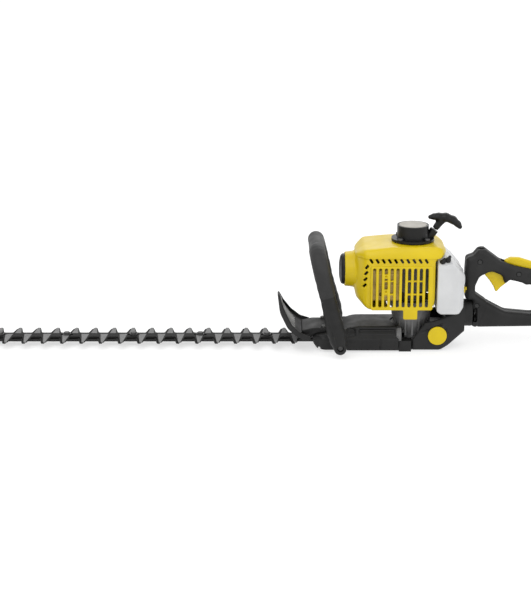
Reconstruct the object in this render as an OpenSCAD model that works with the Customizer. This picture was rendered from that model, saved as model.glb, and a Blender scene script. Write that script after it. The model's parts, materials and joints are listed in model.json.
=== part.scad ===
// Petrol hedge trimmer with double-sided blades, a front loop handle and a swivelling rear handle.
// Origin: on the flat base, straight under the crankshaft. The blades point along -X, up is +Z.

/* [Blades] */
// Distance from one blade tooth to the next
tooth_pitch = 35; // [33:1:37]
// Teeth along each edge of a blade
tooth_count = 16; // [12:1:16]
// Distance from the centre line to the tooth tips
tooth_reach = 43; // [38:1:46]
// Thickness of each blade
blade_t = 2; // [1.8:0.1:2]
// Travel of each blade to either side of its middle position
blade_throw = 8; // [5:1:8]
// Distance between the blade bolts
bolt_pitch = 122.5; // [115:2.5:125]

/* [Drive] */
// Module of the gear teeth
gear_module = 1.5; // [1.5:0.5:1.5]
// Teeth on the drive pinion
pinion_teeth = 12; // [12:1:12]
// Teeth on the cam gear
cam_teeth = 50; // [50:1:50]
// Outer radius of the clutch drum
drum_r = 29; // [27:1:29]

/* [Engine] */
// Radius of the cylinder bore
bore_r = 16.05; // [15.5:0.05:16.5]
// Travel of the piston
stroke = 28; // [26:1:30]
// Height of the cylinder's centre line above the base
cylinder_z = 143.5; // [142:0.5:145]
// Half the width of the engine cover
cover_half_w = 62; // [60:1:64]
// Wall thickness of the moulded covers
wall = 2.5; // [2:0.5:3]
// Number of cooling slots in the side of the cover
slot_count = 10; // [6:1:10]

/* [Handles] */
// Radius of the front loop handle's tube
loop_tube_r = 14.5; // [12:0.5:15]
// Distance from the centre line to each leg of the front handle
loop_half_w = 82; // [80:1:90]
// Lean of the front handle towards the blades
loop_lean = 13.6; // [5:0.1:15]
// Half the thickness of the rear handle
grip_half_w = 18; // [16:1:20]
// Height of the rear handle's swivel axis
swivel_z = 61; // [60:1:62]

/* [Hidden] */
$fn = 64;
arc_steps = 6;
fit = 0.3;
run_fit = 0.05;
thin = 0.01;

// Blade stack, from the guide bar upwards
bar_z0 = 9;
bar_z1 = 13.5;
lower_z0 = 13.7;
upper_z0 = 16;
blade_top = upper_z0 + blade_t;
bar_half_w = 14;
neck_half_w = 13;
tooth_root_w = 9;
tooth_tip_w = 3;
blade_front = -788;
bar_front = -814;
bar_rear = -128;
blade_rear = -92;
near_tooth_x = -215;
far_tooth_x = near_tooth_x - 19.5;
first_bolt_x = -263;
bolt_r = 3;
bolt_count = 5;
tip_hole_x = -802;
tip_hole_r = 3.1;

// Cam drive under the gearcase
pitch_pinion = gear_module * pinion_teeth / 2;
pitch_cam = gear_module * cam_teeth / 2;
cam_x = -(pitch_pinion + pitch_cam);
conrod_pin_x = cam_x - 55;
conrod_t = 4;
ring_bore_r = 16.2;
ring_r = 21;
eccentric_r = 15.9;
cam_shaft_r = 4.5;
gear_z0 = 28.2;
gear_z1 = 34.2;
pinion_z0 = 27.5;
pinion_z1 = 35;
chamber_r = 40.2;
chamber_top = 35.5;
cam_bearing_top = 40.5;
drum_z0 = 57;
drum_z1 = 80;
drum_shaft_r = 6;

// Crank and engine levels
throw = stroke / 2;
web_r = 20;
low_web_z = 128;
high_web_z = 151;
web_t = 8;
crank_r = 7.5;
nose_r = 6;
case_z0 = 84;
case_top = 170;
fly_z0 = 176;
fly_z1 = 192;
fly_r = 36.5;
cover_top = 198;
cover_base = 80;
starter_top = 226;
starter_r = 28.5;
disc_r = 25.2;
reel_z0 = 205;
reel_z1 = 214;

// Starter handle: its pull direction leans back from the vertical
pull_lean = 34.8;
outlet = [38, 0, 215.6];

// Rear handle
joint_x = 111;
grip_wall = 3;
trigger_pivot = [141, 148];
lever_pivot = [250, 124];
button_x = 125;

// ---- Outline functions: each outline point is [across, up, corner radius], counter-clockwise ----
function unit(v) = v / norm(v);
function flat(p) = [p.x, p.y];
function corner(a, b, c, r) =
    let (u = unit(a - b), v = unit(c - b), half = acos(u * v) / 2, span = 180 - 2 * half,
         middle = b + unit(u + v) * r / sin(half),
         p = b + u * r / tan(half) - middle, q = b + v * r / tan(half) - middle)
    [for (k = [0:arc_steps])
        let (t = k / arc_steps)
        middle + (p * sin((1 - t) * span) + q * sin(t * span)) / sin(span)];
function smooth(pts) =
    [for (i = [0:len(pts) - 1])
        let (n = len(pts), a = flat(pts[(i + n - 1) % n]), b = flat(pts[i]), c = flat(pts[(i + 1) % n]))
        each (pts[i].z > 0 ? corner(a, b, c, pts[i].z) : [b])];
function left_normal(a, b) = let (d = unit(b - a)) [-d.y, d.x];
function inset(pts, t) =
    [for (i = [0:len(pts) - 1])
        let (n = len(pts), a = flat(pts[(i + n - 1) % n]), b = flat(pts[i]), c = flat(pts[(i + 1) % n]),
             n1 = left_normal(a, b), n2 = left_normal(b, c), p = b + (n1 + n2) * t / (1 + n1 * n2),
             bend = cross(b - a, c - b), r = bend > 0 ? pts[i].z - t : pts[i].z + t)
        [p.x, p.y, pts[i].z > 0 ? max(r, 0) : 0]];
function rect(x0, x1, y0, y1, r) = [[x0, y0, r], [x1, y0, r], [x1, y1, r], [x0, y1, r]];

// ---- Shape helpers: extrusions and rods along each axis ----
module along_x(x0, x1) translate([x0, 0, 0]) rotate([90, 0, 90]) linear_extrude(x1 - x0) children();
module along_y(y0, y1) translate([0, y1, 0]) rotate([90, 0, 0]) linear_extrude(y1 - y0) children();
module along_z(z0, z1) translate([0, 0, z0]) linear_extrude(z1 - z0) children();
module rod_x(y, z, x0, x1, r) translate([x0, y, z]) rotate([0, 90, 0]) cylinder(r = r, h = x1 - x0);
module rod_y(x, z, y0, y1, r) translate([x, y0, z]) rotate([-90, 0, 0]) cylinder(r = r, h = y1 - y0);
module rod_z(x, y, z0, z1, r) translate([x, y, z0]) cylinder(r = r, h = z1 - z0);
module box(x0, x1, y0, y1, z0, z1) translate([x0, y0, z0]) cube([x1 - x0, y1 - y0, z1 - z0]);
module both_sides() for (s = [0, 1]) mirror([0, s, 0]) children();
module outline(pts) polygon(smooth(pts));
module slot_z(x, y, half_len, r, z0, z1) {
    rod_z(x - half_len, y, z0, z1, r);
    rod_z(x + half_len, y, z0, z1, r);
    box(x - half_len, x + half_len, y - r, y + r, z0, z1);
}
module hex_z(x, y, z0, z1, r) translate([x, y, z0]) cylinder(r = r, h = z1 - z0, $fn = 6);
module ring_z(x, y, z0, z1, r_out, r_in) difference() {
    rod_z(x, y, z0, z1, r_out);
    rod_z(x, y, z0 - 1, z1 + 1, r_in);
}

// ---- Gear teeth with involute flanks ----
function involute(base_r, r) = let (a = acos(base_r / r)) tan(a) * 180 / PI - a;
function polar(r, a) = r * [cos(a), sin(a)];
function gear_points(teeth, m, backlash) =
    let (rp = m * teeth / 2, rb = rp * cos(20), ra = rp + m, rf = rp - 1.25 * m, r0 = max(rb, rf),
         half = (PI * m / 2 - backlash) / (2 * rp) * 180 / PI + involute(rb, rp))
    [for (i = [0:teeth - 1])
        let (mid = i * 360 / teeth)
        each concat(
            [polar(rf, mid - half)],
            [for (k = [0:4]) let (r = r0 + (ra - r0) * k / 4) polar(r, mid - half + involute(rb, r))],
            [for (k = [4:-1:0]) let (r = r0 + (ra - r0) * k / 4) polar(r, mid + half - involute(rb, r))],
            [polar(rf, mid + half)])];

// ================= Blades =================
function tooth_edge(x, side) =
    [[x - tooth_root_w, side * neck_half_w, 4], [x - tooth_tip_w, side * tooth_reach, 1.5],
     [x + tooth_tip_w, side * tooth_reach, 1.5], [x + tooth_root_w, side * neck_half_w, 4]];
module blade_outline() {
    near = [for (i = [tooth_count - 1:-1:0]) each tooth_edge(near_tooth_x - i * tooth_pitch, -1)];
    far = [for (i = [0:tooth_count - 1])
            let (t = tooth_edge(far_tooth_x - i * tooth_pitch, 1)) each [t[3], t[2], t[1], t[0]]];
    outline(concat(near, [[blade_rear, -neck_half_w, 4], [blade_rear, neck_half_w, 4]], far,
                   [[blade_front + 10, neck_half_w, 6], [blade_front, 6, 5], [blade_front, -6, 5]]));
}
module blade(z0, shift) translate([shift, 0, 0]) difference() {
    along_z(z0, z0 + blade_t) blade_outline();
    for (i = [0:bolt_count - 1])
        slot_z(first_bolt_x - i * bolt_pitch - shift, 0, blade_throw + 0.5, bolt_r + fit, z0 - 1, z0 + 4);
    rod_z(conrod_pin_x - shift, 0, z0 - 1, z0 + 4, 4);
}
module conrod(z0) difference() {
    union() {
        rod_z(conrod_pin_x, 0, z0, z0 + conrod_t, 8);
        rod_z(cam_x, 0, z0, z0 + conrod_t, ring_r);
        box(conrod_pin_x, cam_x, -6, 6, z0, z0 + conrod_t);
    }
    rod_z(conrod_pin_x, 0, z0 - 1, z0 + 5, 4);
    rod_z(cam_x, 0, z0 - 1, z0 + 5, ring_bore_r);
}
module lower_blade() color("silver") blade(lower_z0, 0);
module upper_blade() color("lightgray") blade(upper_z0, 3);
module lower_conrod() color("gray") conrod(lower_z0 - conrod_t);
module upper_conrod() color("gray") conrod(blade_top);
module lower_blade_pin() color("dimgray")
    rod_z(conrod_pin_x, 0, lower_z0 - conrod_t, lower_z0 + blade_t, 4);
module upper_blade_pin() color("dimgray")
    rod_z(conrod_pin_x, 0, upper_z0, blade_top + conrod_t, 4);
module guide_bar() color("dimgray") difference() {
    along_z(bar_z0, bar_z1) outline([[bar_front, -7, 5], [bar_front + 14, -bar_half_w, 8],
        [bar_rear, -bar_half_w, 2], [bar_rear, bar_half_w, 2], [bar_front + 14, bar_half_w, 8],
        [bar_front, 7, 5]]);
    for (i = [0:bolt_count - 1]) rod_z(first_bolt_x - i * bolt_pitch, 0, 8, 16, bolt_r);
    for (x = bar_screw_x) rod_z(x, 0, 8, 16, screw_r);
    rod_z(tip_hole_x, 0, 8, 16, tip_hole_r);
}
module blade_bolts() color("gray") for (i = [0:bolt_count - 1]) {
    x = first_bolt_x - i * bolt_pitch;
    rod_z(x, 0, bar_z0, blade_top + 1.5, bolt_r);
    rod_z(x, 0, blade_top + fit, blade_top + 1.5, 7);
    hex_z(x, 0, blade_top + 1.5, blade_top + 5, 5.5);
}

// ================= Screws =================
// One size of screw: [x, y, z of the seat under the head, direction the head points]
screw_r = 2.5;
head_r = 4.6;
head_h = 3.5;
bar_screw_x = [-158, -140];
flange_r = 41.5;
flange_bolts = [for (a = [45:90:315]) [36 * cos(a), 36 * sin(a)]];
starter_bolts = [for (a = [45:90:315]) [33.8 * cos(a), 33.8 * sin(a)]];
guard_screws = [[-160, -28], [-160, 28]];
guard_seat = 41;
module screw_up(x, y, z, length) {
    rod_z(x, y, z - length, z, screw_r);
    rod_z(x, y, z, z + head_h, head_r);
}
module screw_down(x, y, z, length) mirror([0, 0, 1]) screw_up(x, y, -z, length);
module loop_screw() {
    rod_y(loop_foot.x, loop_foot.z, -loop_half_w - 4, -44, screw_r);
    rod_y(loop_foot.x, loop_foot.z, -loop_half_w - 4 - head_h, -loop_half_w - 4, head_r);
}
module machine_screws() color("dimgray") {
    for (x = bar_screw_x) screw_down(x, 0, 4.5, bar_z1 - 4.7);
    for (p = flange_bolts) screw_up(p.x, p.y, 90, 10);
    for (p = starter_bolts) screw_up(p.x, p.y, cover_top + 4, 8);
    for (p = guard_screws) screw_up(p.x, p.y, guard_seat, 16);
    both_sides() loop_screw();
}

// ================= Gearcase and base =================
module base_cover() color("dimgray") difference() {
    union() {
        along_z(0, 8) outline([[-166, -36, 10], [-4, -36, 3], [24, -22, 8],
            [24, 22, 8], [-4, 36, 3], [-166, 36, 10]]);
        box(-162, -130, -bar_half_w, bar_half_w, 8, bar_z0);
        rod_z(cam_x, 0, 8, 9, 13);
        both_sides() box(-24, -2, 27, 46, 0, 20);
        both_sides() box(-118, -24, 36, 48.5, 3, 8);
    }
    rod_z(cam_x, 0, 3, 10, 9.5);
    for (x = bar_screw_x) {
        rod_z(x, 0, -1, 10, screw_r);
        rod_z(x, 0, -1, 4.5, head_r);
    }
    rod_z(0, 0, 8, 30, 27);
}
module gearcase() color("lightgray") difference() {
    union() {
        along_x(-89, -20) outline([[-45, 8, 0], [45, 8, 0], [45, 30, 2],
            [37, 43, 4], [-37, 43, 4], [-45, 30, 2]]);
        rod_z(0, 0, 8, 26, 26);
        translate([0, 0, 26]) cylinder(r1 = 26, r2 = 35.5, h = 34);
        rod_z(0, 0, 60, 84, 35.5);
        rod_z(0, 0, 78, 84, flange_r);
        box(18, 56, -24, 24, 8, 44);
        for (a = [-150:20:150]) rotate([0, 0, a]) box(26, 35.3, -1.5, 1.5, 27, 70);
    }
    rod_z(cam_x, 0, 7, chamber_top, chamber_r);
    rod_z(cam_x, 0, 7, cam_bearing_top, 9.5);
    box(-90, cam_x, -17, 17, 7, 25.5);
    rod_z(0, 0, 26, chamber_top, 12.5);
    box(cam_x, 0, -9, 9, 26, chamber_top);
    rod_z(0, 0, 30, 60, 7.5);
    rod_z(0, 0, 40, 52, 14);
    rod_z(0, 0, 55, 90, 31.5);
    for (p = flange_bolts) rod_z(p.x, p.y, 70, 90, screw_r);
    both_sides() rod_y(45, 29.7, 20, 30, 5);
    box(-25, 0, -50, 50, 7, 20.2);
}
module bearings() color("silver") {
    ring_z(cam_x, 0, 3, 9, 9.5, cam_shaft_r + run_fit);
    ring_z(cam_x, 0, 36, cam_bearing_top, 9.5, cam_shaft_r + run_fit);
    ring_z(0, 0, 40, 52, 14, drum_shaft_r + run_fit);
    ring_z(0, 0, 113, 123, 16, crank_r + run_fit);
    ring_z(0, 0, 161, 169, 14, nose_r + run_fit);
}
module front_housing() {
    section = [[-52, 3, 4], [52, 3, 4], [52, 27, 3], [43, 44, 5], [38, 47, 5],
        [-38, 47, 5], [-43, 44, 5], [-52, 27, 3]];
    side = [[-171, 3, 5], [-24, 3, 0], [-24, 47, 3], [-98, 46.5, 20], [-140, 36, 20],
        [-174, 30, 8], [-181, 24, 6], [-181, 14, 6]];
    plan = [[-181, -34, 14], [-160, -52, 14], [-24, -52, 0], [-24, 52, 0], [-160, 52, 14], [-181, 34, 14]];
    color("dimgray") difference() {
        intersection() {
            along_x(-190, -20) outline(section);
            along_y(-60, 60) outline(side);
            along_z(0, 70) outline(plan);
        }
        intersection() {
            along_x(-190, -20) outline(inset(section, 3));
            along_y(-60, 60) outline(inset(side, 3));
            along_z(0, 70) outline(inset(plan, 3));
        }
        box(-28, -20, -48.9, 48.9, 0, 47);
        rod_z(0, 0, 20, 70, 37);
        box(-170, -20, -49, 49, -1, 8);
        box(-200, -150, -17, 17, 8, 26);
        for (p = guard_screws) rod_z(p.x, p.y, 20, 70, screw_r);
        both_sides() rod_y(loop_foot.x, loop_foot.z, 43, 60, screw_r);
    }
}
module hand_guard() {
    front = [[-60, 19, 0], [60, 19, 0], [60, 47, 24], [43, 68, 40], [11, 101, 5],
        [-11, 101, 5], [-43, 68, 40], [-60, 47, 24]];
    outside = [[-184, 23, 1], [-194, 24.5, 8], [-209, 31.5, 20], [-226, 47, 30], [-240, 71, 30], [-244, 98, 1]];
    color("dimgray") difference() {
        union() {
            difference() {
                intersection() {
                    along_y(-62, 62) outline(concat(outside, [[-241, 99, 1], [-232, 76, 30],
                        [-218.5, 53, 30], [-202, 38.5, 20], [-184, 33, 1]]));
                    along_x(-250, -140) outline(front);
                }
                difference() {
                    intersection() {
                        along_y(-62, 62) outline([[-180, 27, 0], [-192, 28, 6], [-206, 34.5, 20], [-223, 50, 30],
                            [-236.5, 73, 30], [-240, 106, 0], [-180, 106, 0]]);
                        along_x(-250, -140) outline(inset(front, 3));
                    }
                    for (y = [-32:16:32]) box(-250, -178, y - 1.25, y + 1.25, 15, 110);
                }
            }
            along_y(-34, 34) outline([[-145, 35.15, 0], [-145, guard_seat, 2], [-180, guard_seat, 20],
                [-201, 36, 2], [-200, 33, 1], [-186, 26, 4], [-175, 30, 4]]);
        }
        for (p = guard_screws) rod_z(p.x, p.y, 20, 80, screw_r);
    }
}

// ================= Front loop handle =================
loop_foot = [-132, -loop_half_w, 20];
loop_z0 = 16;
loop_length = 176;
loop_corner = 40;
loop_swell_r = loop_tube_r + 2.5;
module loop_half() {
    straight = loop_length - loop_corner;
    translate([0, loop_half_w, 0]) {
        cylinder(r1 = 10, r2 = loop_swell_r, h = 30);
        translate([0, 0, 30]) cylinder(r1 = loop_swell_r, r2 = loop_tube_r, h = 80);
        translate([0, 0, 110]) cylinder(r = loop_tube_r, h = straight - 110);
    }
    translate([0, loop_half_w - loop_corner, straight]) rotate([90, 0, 90])
        rotate_extrude(angle = 90) translate([loop_corner, 0]) circle(r = loop_tube_r);
    rod_y(0, loop_length, 0, loop_half_w - loop_corner, loop_tube_r);
}
module front_handle() color("dimgray") difference() {
    union() {
        translate([loop_foot.x, 0, loop_z0]) rotate([0, -loop_lean, 0]) both_sides() loop_half();
        both_sides() rod_y(loop_foot.x, loop_foot.z, 52, loop_half_w, 9.5);
        both_sides() rod_y(loop_foot.x, loop_foot.z, 70, loop_half_w + 4, 11);
    }
    both_sides() rod_y(loop_foot.x, loop_foot.z, 40, 120, screw_r);
    both_sides() rod_y(loop_foot.x, loop_foot.z, loop_half_w + 4, 120, head_r + fit);
}

// ================= Rear arm and swivel =================
damper = [45, 29.7];
module rear_arm() color("dimgray") difference() {
    intersection() {
        along_y(-43, 43) outline([[-1.4, 1, 2], [51, 1, 8], [67, 9, 6], [103, 36, 4], [joint_x - fit, 36, 0],
            [joint_x - fit, 86, 0], [97, 86, 2], [74, 69, 4], [39, 57, 8], [22, 54, 4], [-1.4, 20, 2]]);
        along_z(-5, 100) outline([[-2, -43, 0], [55, -43, 10], [95, -25, 10], [joint_x, -25, 0],
            [joint_x, 25, 0], [95, 25, 10], [55, 43, 10], [-2, 43, 0]]);
    }
    box(-10, 58, -38, 38, -5, 90);
    difference() {
        box(96, joint_x + 1, -40, 40, 0, 100);
        rod_x(0, swivel_z, 90, joint_x + 2, 25);
    }
    rod_x(0, swivel_z, 78, joint_x + 1, 12);
    both_sides() rod_y(damper.x, damper.y, 37, 44, 12);
}
module rubber_dampers() color("black") both_sides() rod_y(damper.x, damper.y, 24, 38, 12);
module damper_caps() color("gold") both_sides() {
    rod_y(damper.x, damper.y, 38, 43, 12);
    rod_y(damper.x, damper.y, 43, 46.5, 17);
}
module swivel_tube() color("silver") difference() {
    union() {
        rod_x(0, swivel_z, 78, 142, 12);
        rod_x(0, swivel_z, 137.3, 142, 16);
    }
    rod_x(0, swivel_z, 70, 150, 9);
}

// ================= Engine =================
module crankcase() color("lightgray") difference() {
    union() {
        rod_z(0, 0, case_z0, case_z0 + 6, flange_r);
        rod_z(0, 0, case_z0, 112, 27);
        box(-30, 28, -30, 30, 108, case_top);
    }
    rod_z(0, 0, 83, 105, 20);
    rod_z(0, 0, 83, 200, 9);
    rod_z(0, 0, 113, 123, 16);
    rod_z(0, 0, 126, 160.9, web_r + 3.5);
    rod_z(0, 0, 161, 169, 14);
    rod_x(0, cylinder_z, -40, 0, bore_r + 0.5);
    for (p = flange_bolts) rod_z(p.x, p.y, 80, 95, screw_r);
}
module cylinder_barrel() {
    rod_x(0, cylinder_z, -98, -30, 21);
    for (i = [0:8]) along_x(-94 + i * 7, -91.5 + i * 7)
        outline(rect(-27, 27, cylinder_z - 27, cylinder_z + 27, 8));
    box(-72, -50, 20, 30, cylinder_z - 12, cylinder_z + 12);
    box(-72, -46, -30, -20, cylinder_z - 12, cylinder_z + 12);
}
module engine_cylinder() color("silver") difference() {
    cylinder_barrel();
    rod_x(0, cylinder_z, -90, -20, bore_r);
    rod_x(0, cylinder_z, -100, -80, 5);
    rod_y(-59, cylinder_z, -40, -10, 6);
    rod_y(-61, cylinder_z, 10, 40, 6);
}
module spark_plug() color("white") {
    rod_x(0, cylinder_z, -98, -88, 5);
    translate([-104, 0, cylinder_z]) rotate([0, 90, 0]) cylinder(r = 8, h = 6, $fn = 6);
    rod_x(0, cylinder_z, -114, -104, 5);
    rod_x(0, cylinder_z, -119, -114, 3);
}
module spark_plug_cover() color("black") {
    difference() {
        rod_x(0, cylinder_z, -126, -119.5, 28);
        rod_x(0, cylinder_z, -123.5, -119, 24);
    }
    translate([-126, 0, cylinder_z]) rotate([0, -90, 0]) rotate_extrude()
        polygon([[0, 0], [27.5, 0], [26.5, 2.5], [22, 4.6], [14, 6], [0, 6.6]]);
}
module muffler() color("gray") difference() {
    union() {
        intersection() {
            along_y(-56, -30) outline(rect(-77, -25, 97, 158, 8));
            along_x(-100, 0) outline(rect(-56, -30, 97, 158, 6));
        }
        rod_y(-59, 112, -58, -50, 6);
        for (z = [108, 128, 148]) box(-72, -30, -57.5, -50, z - 1.5, z + 1.5);
    }
    rod_y(-59, 112, -60, -52, 4.5);
    rod_y(-59, cylinder_z, -40, -20, 6);
}
module intake_manifold() color("black") difference() {
    rod_y(-61, cylinder_z, 30, 38, 13);
    rod_y(-61, cylinder_z, 20, 45, 6);
}
module carburettor() color("lightgray") difference() {
    union() {
        box(-78, -44, 38, 60, cylinder_z - 17, cylinder_z + 17);
        rod_z(-61, 49, cylinder_z + 17, cylinder_z + 22, 9);
        rod_z(-61, 49, cylinder_z - 22, cylinder_z - 17, 10);
    }
    rod_y(-61, cylinder_z, 30, 70, 6);
}
module air_filter_base() color("dimgray") difference() {
    along_y(60, 74) outline(rect(-96, -26, 112, 176, 10));
    along_y(63, 80) outline(rect(-93, -29, 115, 173, 7));
    rod_y(-61, cylinder_z, 50, 70, 6);
    rod_y(-84, 165, 50, 70, 3 + run_fit);
}
module air_filter_element() color("khaki") along_y(64, 73) outline(rect(-78, -31, 117, 160, 5));
module air_filter_cover() color("dimgray") difference() {
    intersection() {
        along_y(74, 92) outline(rect(-96, -26, 112, 176, 10));
        along_x(-110, 0) outline([[40, 112, 0], [86, 112, 0], [92, 120, 8],
            [92, 168, 8], [86, 176, 0], [40, 176, 0]]);
    }
    along_y(70, 89) outline(rect(-93, -29, 120, 168, 7));
}
module choke_lever() color("black") {
    rod_y(-84, 165, 57, 72, 3);
    rod_y(-84, 165, 63.3, 66.3, 5);
    rod_y(-84, 165, 56.5, 59.5, 5);
    box(-86.5, -81.5, 56.5, 59.5, 165, 186);
}
function cover_side(t) = inset([[-79, cover_base, 8], [38, cover_base, 7], [40.5, 100, 0], [40.5, 178.2, 0],
    [58, 180, 3], [61, 188, 6], [42, cover_top, 9], [-36, cover_top, 30], [-88, 191, 20], [-104, 180, 16],
    [-109, 118, 14], [-102, 97.5, 12], [-87, 84.5, 8]], t);
function cover_plan(t) = inset([[-109, -26, 20], [-84, -cover_half_w, 30], [49, -cover_half_w, 8], [62, -30, 16],
    [62, 30, 16], [49, cover_half_w, 8], [-84, cover_half_w, 30], [-109, 26, 20]], t);
function cover_section(t) = inset([[-cover_half_w, 60, 0], [cover_half_w, 60, 0], [cover_half_w, 180, 10],
    [50, cover_top, 10], [-50, cover_top, 10], [-cover_half_w, 180, 10]], t);
module cover_form(t) intersection() {
    along_y(-70, 70) outline(cover_side(t));
    along_z(60, 210) outline(cover_plan(t));
    along_x(-120, 64) outline(cover_section(t));
}
slot_pitch = 10.4;
slot_w = 5.5;
module cover_slots() {
    for (i = [0:slot_count - 1]) {
        x = -70.3 + i * slot_pitch;
        along_y(-65, -57) outline(rect(x - slot_w / 2, x + slot_w / 2, 88, 160, 2.6));
    }
    for (i = [0:9]) translate([-76 + i * 11, 0, 172]) rotate([0, 25, 0]) box(-2, 2, -70, -52, -4, 4);
    for (i = [0:3]) translate([-84 - i * 1.5, 0, 160 - i * 12]) rotate([0, -35, 0])
        box(-2, 2, -70, -40, -4, 4);
}
module engine_cover() color("gold") {
    difference() {
        union() {
            cover_form(0);
            rod_x(0, cylinder_z, -123, -100, 31);
        }
        cover_form(wall);
        rod_x(0, cylinder_z, -130, -95, 28.5);
        box(-44, 37, -58, 58, 70, 90);
        box(30, 45, -46, 46, 70, 92);
        rod_z(0, 0, 190, 210, 25);
        cover_slots();
        box(-98, -24, 55, 70, 110, 178);
        box(-106, -76, 50, 70, 150, 190);
        for (p = starter_bolts) rod_z(p.x, p.y, 190, 205, screw_r);
    }
    box(-18, 8, -cover_half_w, -cover_half_w + 2, 65, 82);
    along_y(-cover_half_w + 0.1, -cover_half_w + 2.3) {
        for (z = [111, 135.5]) {
            translate([-51, z - 1.5]) square([14, 3]);
            translate([-9, z - 1.5]) square([24, 3]);
        }
    }
}
module flywheel() color("silver") difference() {
    union() {
        rod_z(0, 0, fly_z0, fly_z0 + 3, fly_r);
        rod_z(0, 0, fly_z0, 190, 13);
        ring_z(0, 0, fly_z0, fly_z0 + 9, fly_r, fly_r - 6);
        for (a = [0:20:340]) rotate([0, 0, a]) box(16, fly_r - 1, -1.25, 1.25, fly_z0 + 2, fly_z1);
    }
    rod_z(0, 0, 170, 200, nose_r);
}
module flywheel_nut() color("gray") difference() {
    hex_z(0, 0, 190, 197, 9);
    rod_z(0, 0, 189, 198, nose_r);
}
module crankshaft() color("gray") {
    rod_z(0, 0, 62, low_web_z, crank_r);
    rod_z(0, 0, high_web_z + web_t, 199, nose_r);
    for (z = [low_web_z, high_web_z]) difference() {
        rod_z(0, 0, z, z + web_t, web_r);
        box(-30, -4, 12, 30, z - 1, z + web_t + 1);
        box(-30, -4, -30, -12, z - 1, z + web_t + 1);
    }
}
module clutch_hub() color("gray") {
    ring_z(0, 0, 63, 67, 22, crank_r);
    for (a = [0, 180]) rotate([0, 0, a]) difference() {
        rod_z(0, 0, 67, 78, 25.3);
        rod_z(0, 0, 66, 79, 12);
        box(-30, 30, -30, 2, 66, 79);
    }
}
module clutch_drum() color("silver") {
    difference() {
        rod_z(0, 0, drum_z0, drum_z1, drum_r);
        rod_z(0, 0, drum_z0 + 3, drum_z1 + 1, drum_r - 2.5);
    }
    rod_z(0, 0, pinion_z1, drum_z0, drum_shaft_r);
    along_z(pinion_z0, pinion_z1) polygon(gear_points(pinion_teeth, gear_module, 0.15));
}
module cam_gear() color("gray") {
    difference() {
        translate([cam_x, 0, 0]) rotate([0, 0, 180 / cam_teeth])
            along_z(gear_z0, gear_z1) polygon(gear_points(cam_teeth, gear_module, 0.15));
        for (a = [0:60:300]) translate([cam_x, 0, 0]) rotate([0, 0, a]) rod_z(24, 0, 20, 40, 5);
    }
    rod_z(cam_x, 0, 3.5, cam_bearing_top - 0.5, cam_shaft_r);
    rod_z(cam_x, 7.5, lower_z0 + fit, blade_top - fit, eccentric_r);
    rod_z(cam_x, -7.5, blade_top + conrod_t + fit, gear_z0, eccentric_r);
}
piston_r = bore_r - run_fit;
wrist_x = -throw - 50;
module piston() color("silver") difference() {
    rod_x(0, cylinder_z, wrist_x - 15, wrist_x + 12, piston_r);
    rod_x(0, cylinder_z, wrist_x - 10, wrist_x + 13, 13);
    rod_z(wrist_x, 0, cylinder_z - 20, cylinder_z + 20, 4);
}
module piston_pin() color("gray") rod_z(wrist_x, 0, cylinder_z - 14, cylinder_z + 14, 4);
module connecting_rod() color("gray") difference() {
    union() {
        rod_z(wrist_x, 0, cylinder_z - 4, cylinder_z + 4, 7);
        rod_z(-throw, 0, cylinder_z - 4, cylinder_z + 4, 9);
        box(wrist_x, -throw, -3.5, 3.5, cylinder_z - 3, cylinder_z + 3);
    }
    rod_z(wrist_x, 0, cylinder_z - 5, cylinder_z + 5, 4);
    rod_z(-throw, 0, cylinder_z - 5, cylinder_z + 5, 5);
}
module crank_pin() color("gray") rod_z(-throw, 0, low_web_z + web_t + 0.2, high_web_z - 0.2, 5);
module ignition_coil() color("black") {
    box(-12, 12, 42, 52, fly_z0, fly_z0 + 12);
    box(-20, 20, 38, 43, fly_z0 + 1, fly_z0 + 9);
    box(-20, -14, 38, 43, case_top, fly_z0 + 2);
    box(-20, -14, 22, 43, case_top, case_top + 4);
}

// ================= Recoil starter =================
module starter_outlet(r, from, to) translate(outlet) rotate([0, pull_lean, 0])
    translate([0, 0, from]) cylinder(r = r, h = to - from);
module starter_housing() color("dimgray") {
    difference() {
        union() {
            rod_z(0, 0, cover_top, cover_top + 4, 38.5);
            rod_z(0, 0, cover_top, starter_top, starter_r);
            intersection() {
                starter_outlet(8, -16, 1);
                rod_z(0, 0, cover_top, 230, 60);
            }
        }
        rod_z(0, 0, cover_top - 1, 222.5, 24.5);
        rod_z(0, 0, 224.5, 230, disc_r + fit);
        starter_outlet(2.8, -9, 5);
        rod_x(0, 209.5, 10, 34, 2.8);
        for (p = starter_bolts) rod_z(p.x, p.y, 190, 225, screw_r);
    }
    rod_z(0, 0, 204, 223, 4);
}
module starter_disc() color("gainsboro") rod_z(0, 0, 224.5, 226.5, disc_r);
module starter_reel() color("dimgray") difference() {
    union() {
        rod_z(0, 0, reel_z0, reel_z0 + 2, 22);
        rod_z(0, 0, reel_z0, reel_z1, 14);
        rod_z(0, 0, reel_z1 - 2, reel_z1, 22);
        rod_z(0, 0, 200, reel_z0, 10);
    }
    rod_z(0, 0, 198, 220, 4 + run_fit);
    rod_z(0, 0, 199, 203.5, 8);
}
module starter_rope_coil() color("white") ring_z(0, 0, reel_z0 + 2, reel_z1 - 2, 19.5, 14);
module starter_rope_end() color("white") starter_outlet(1.75, -8, 17);
module recoil_spring() color("gray") along_z(216, 221) {
    turns = 5;
    outer = [for (a = [0:12:360 * turns]) polar(6.6 + 2.8 * a / 360, a)];
    inner = [for (a = [360 * turns:-12:0]) polar(6 + 2.8 * a / 360, a)];
    polygon(concat(outer, inner));
}
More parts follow.
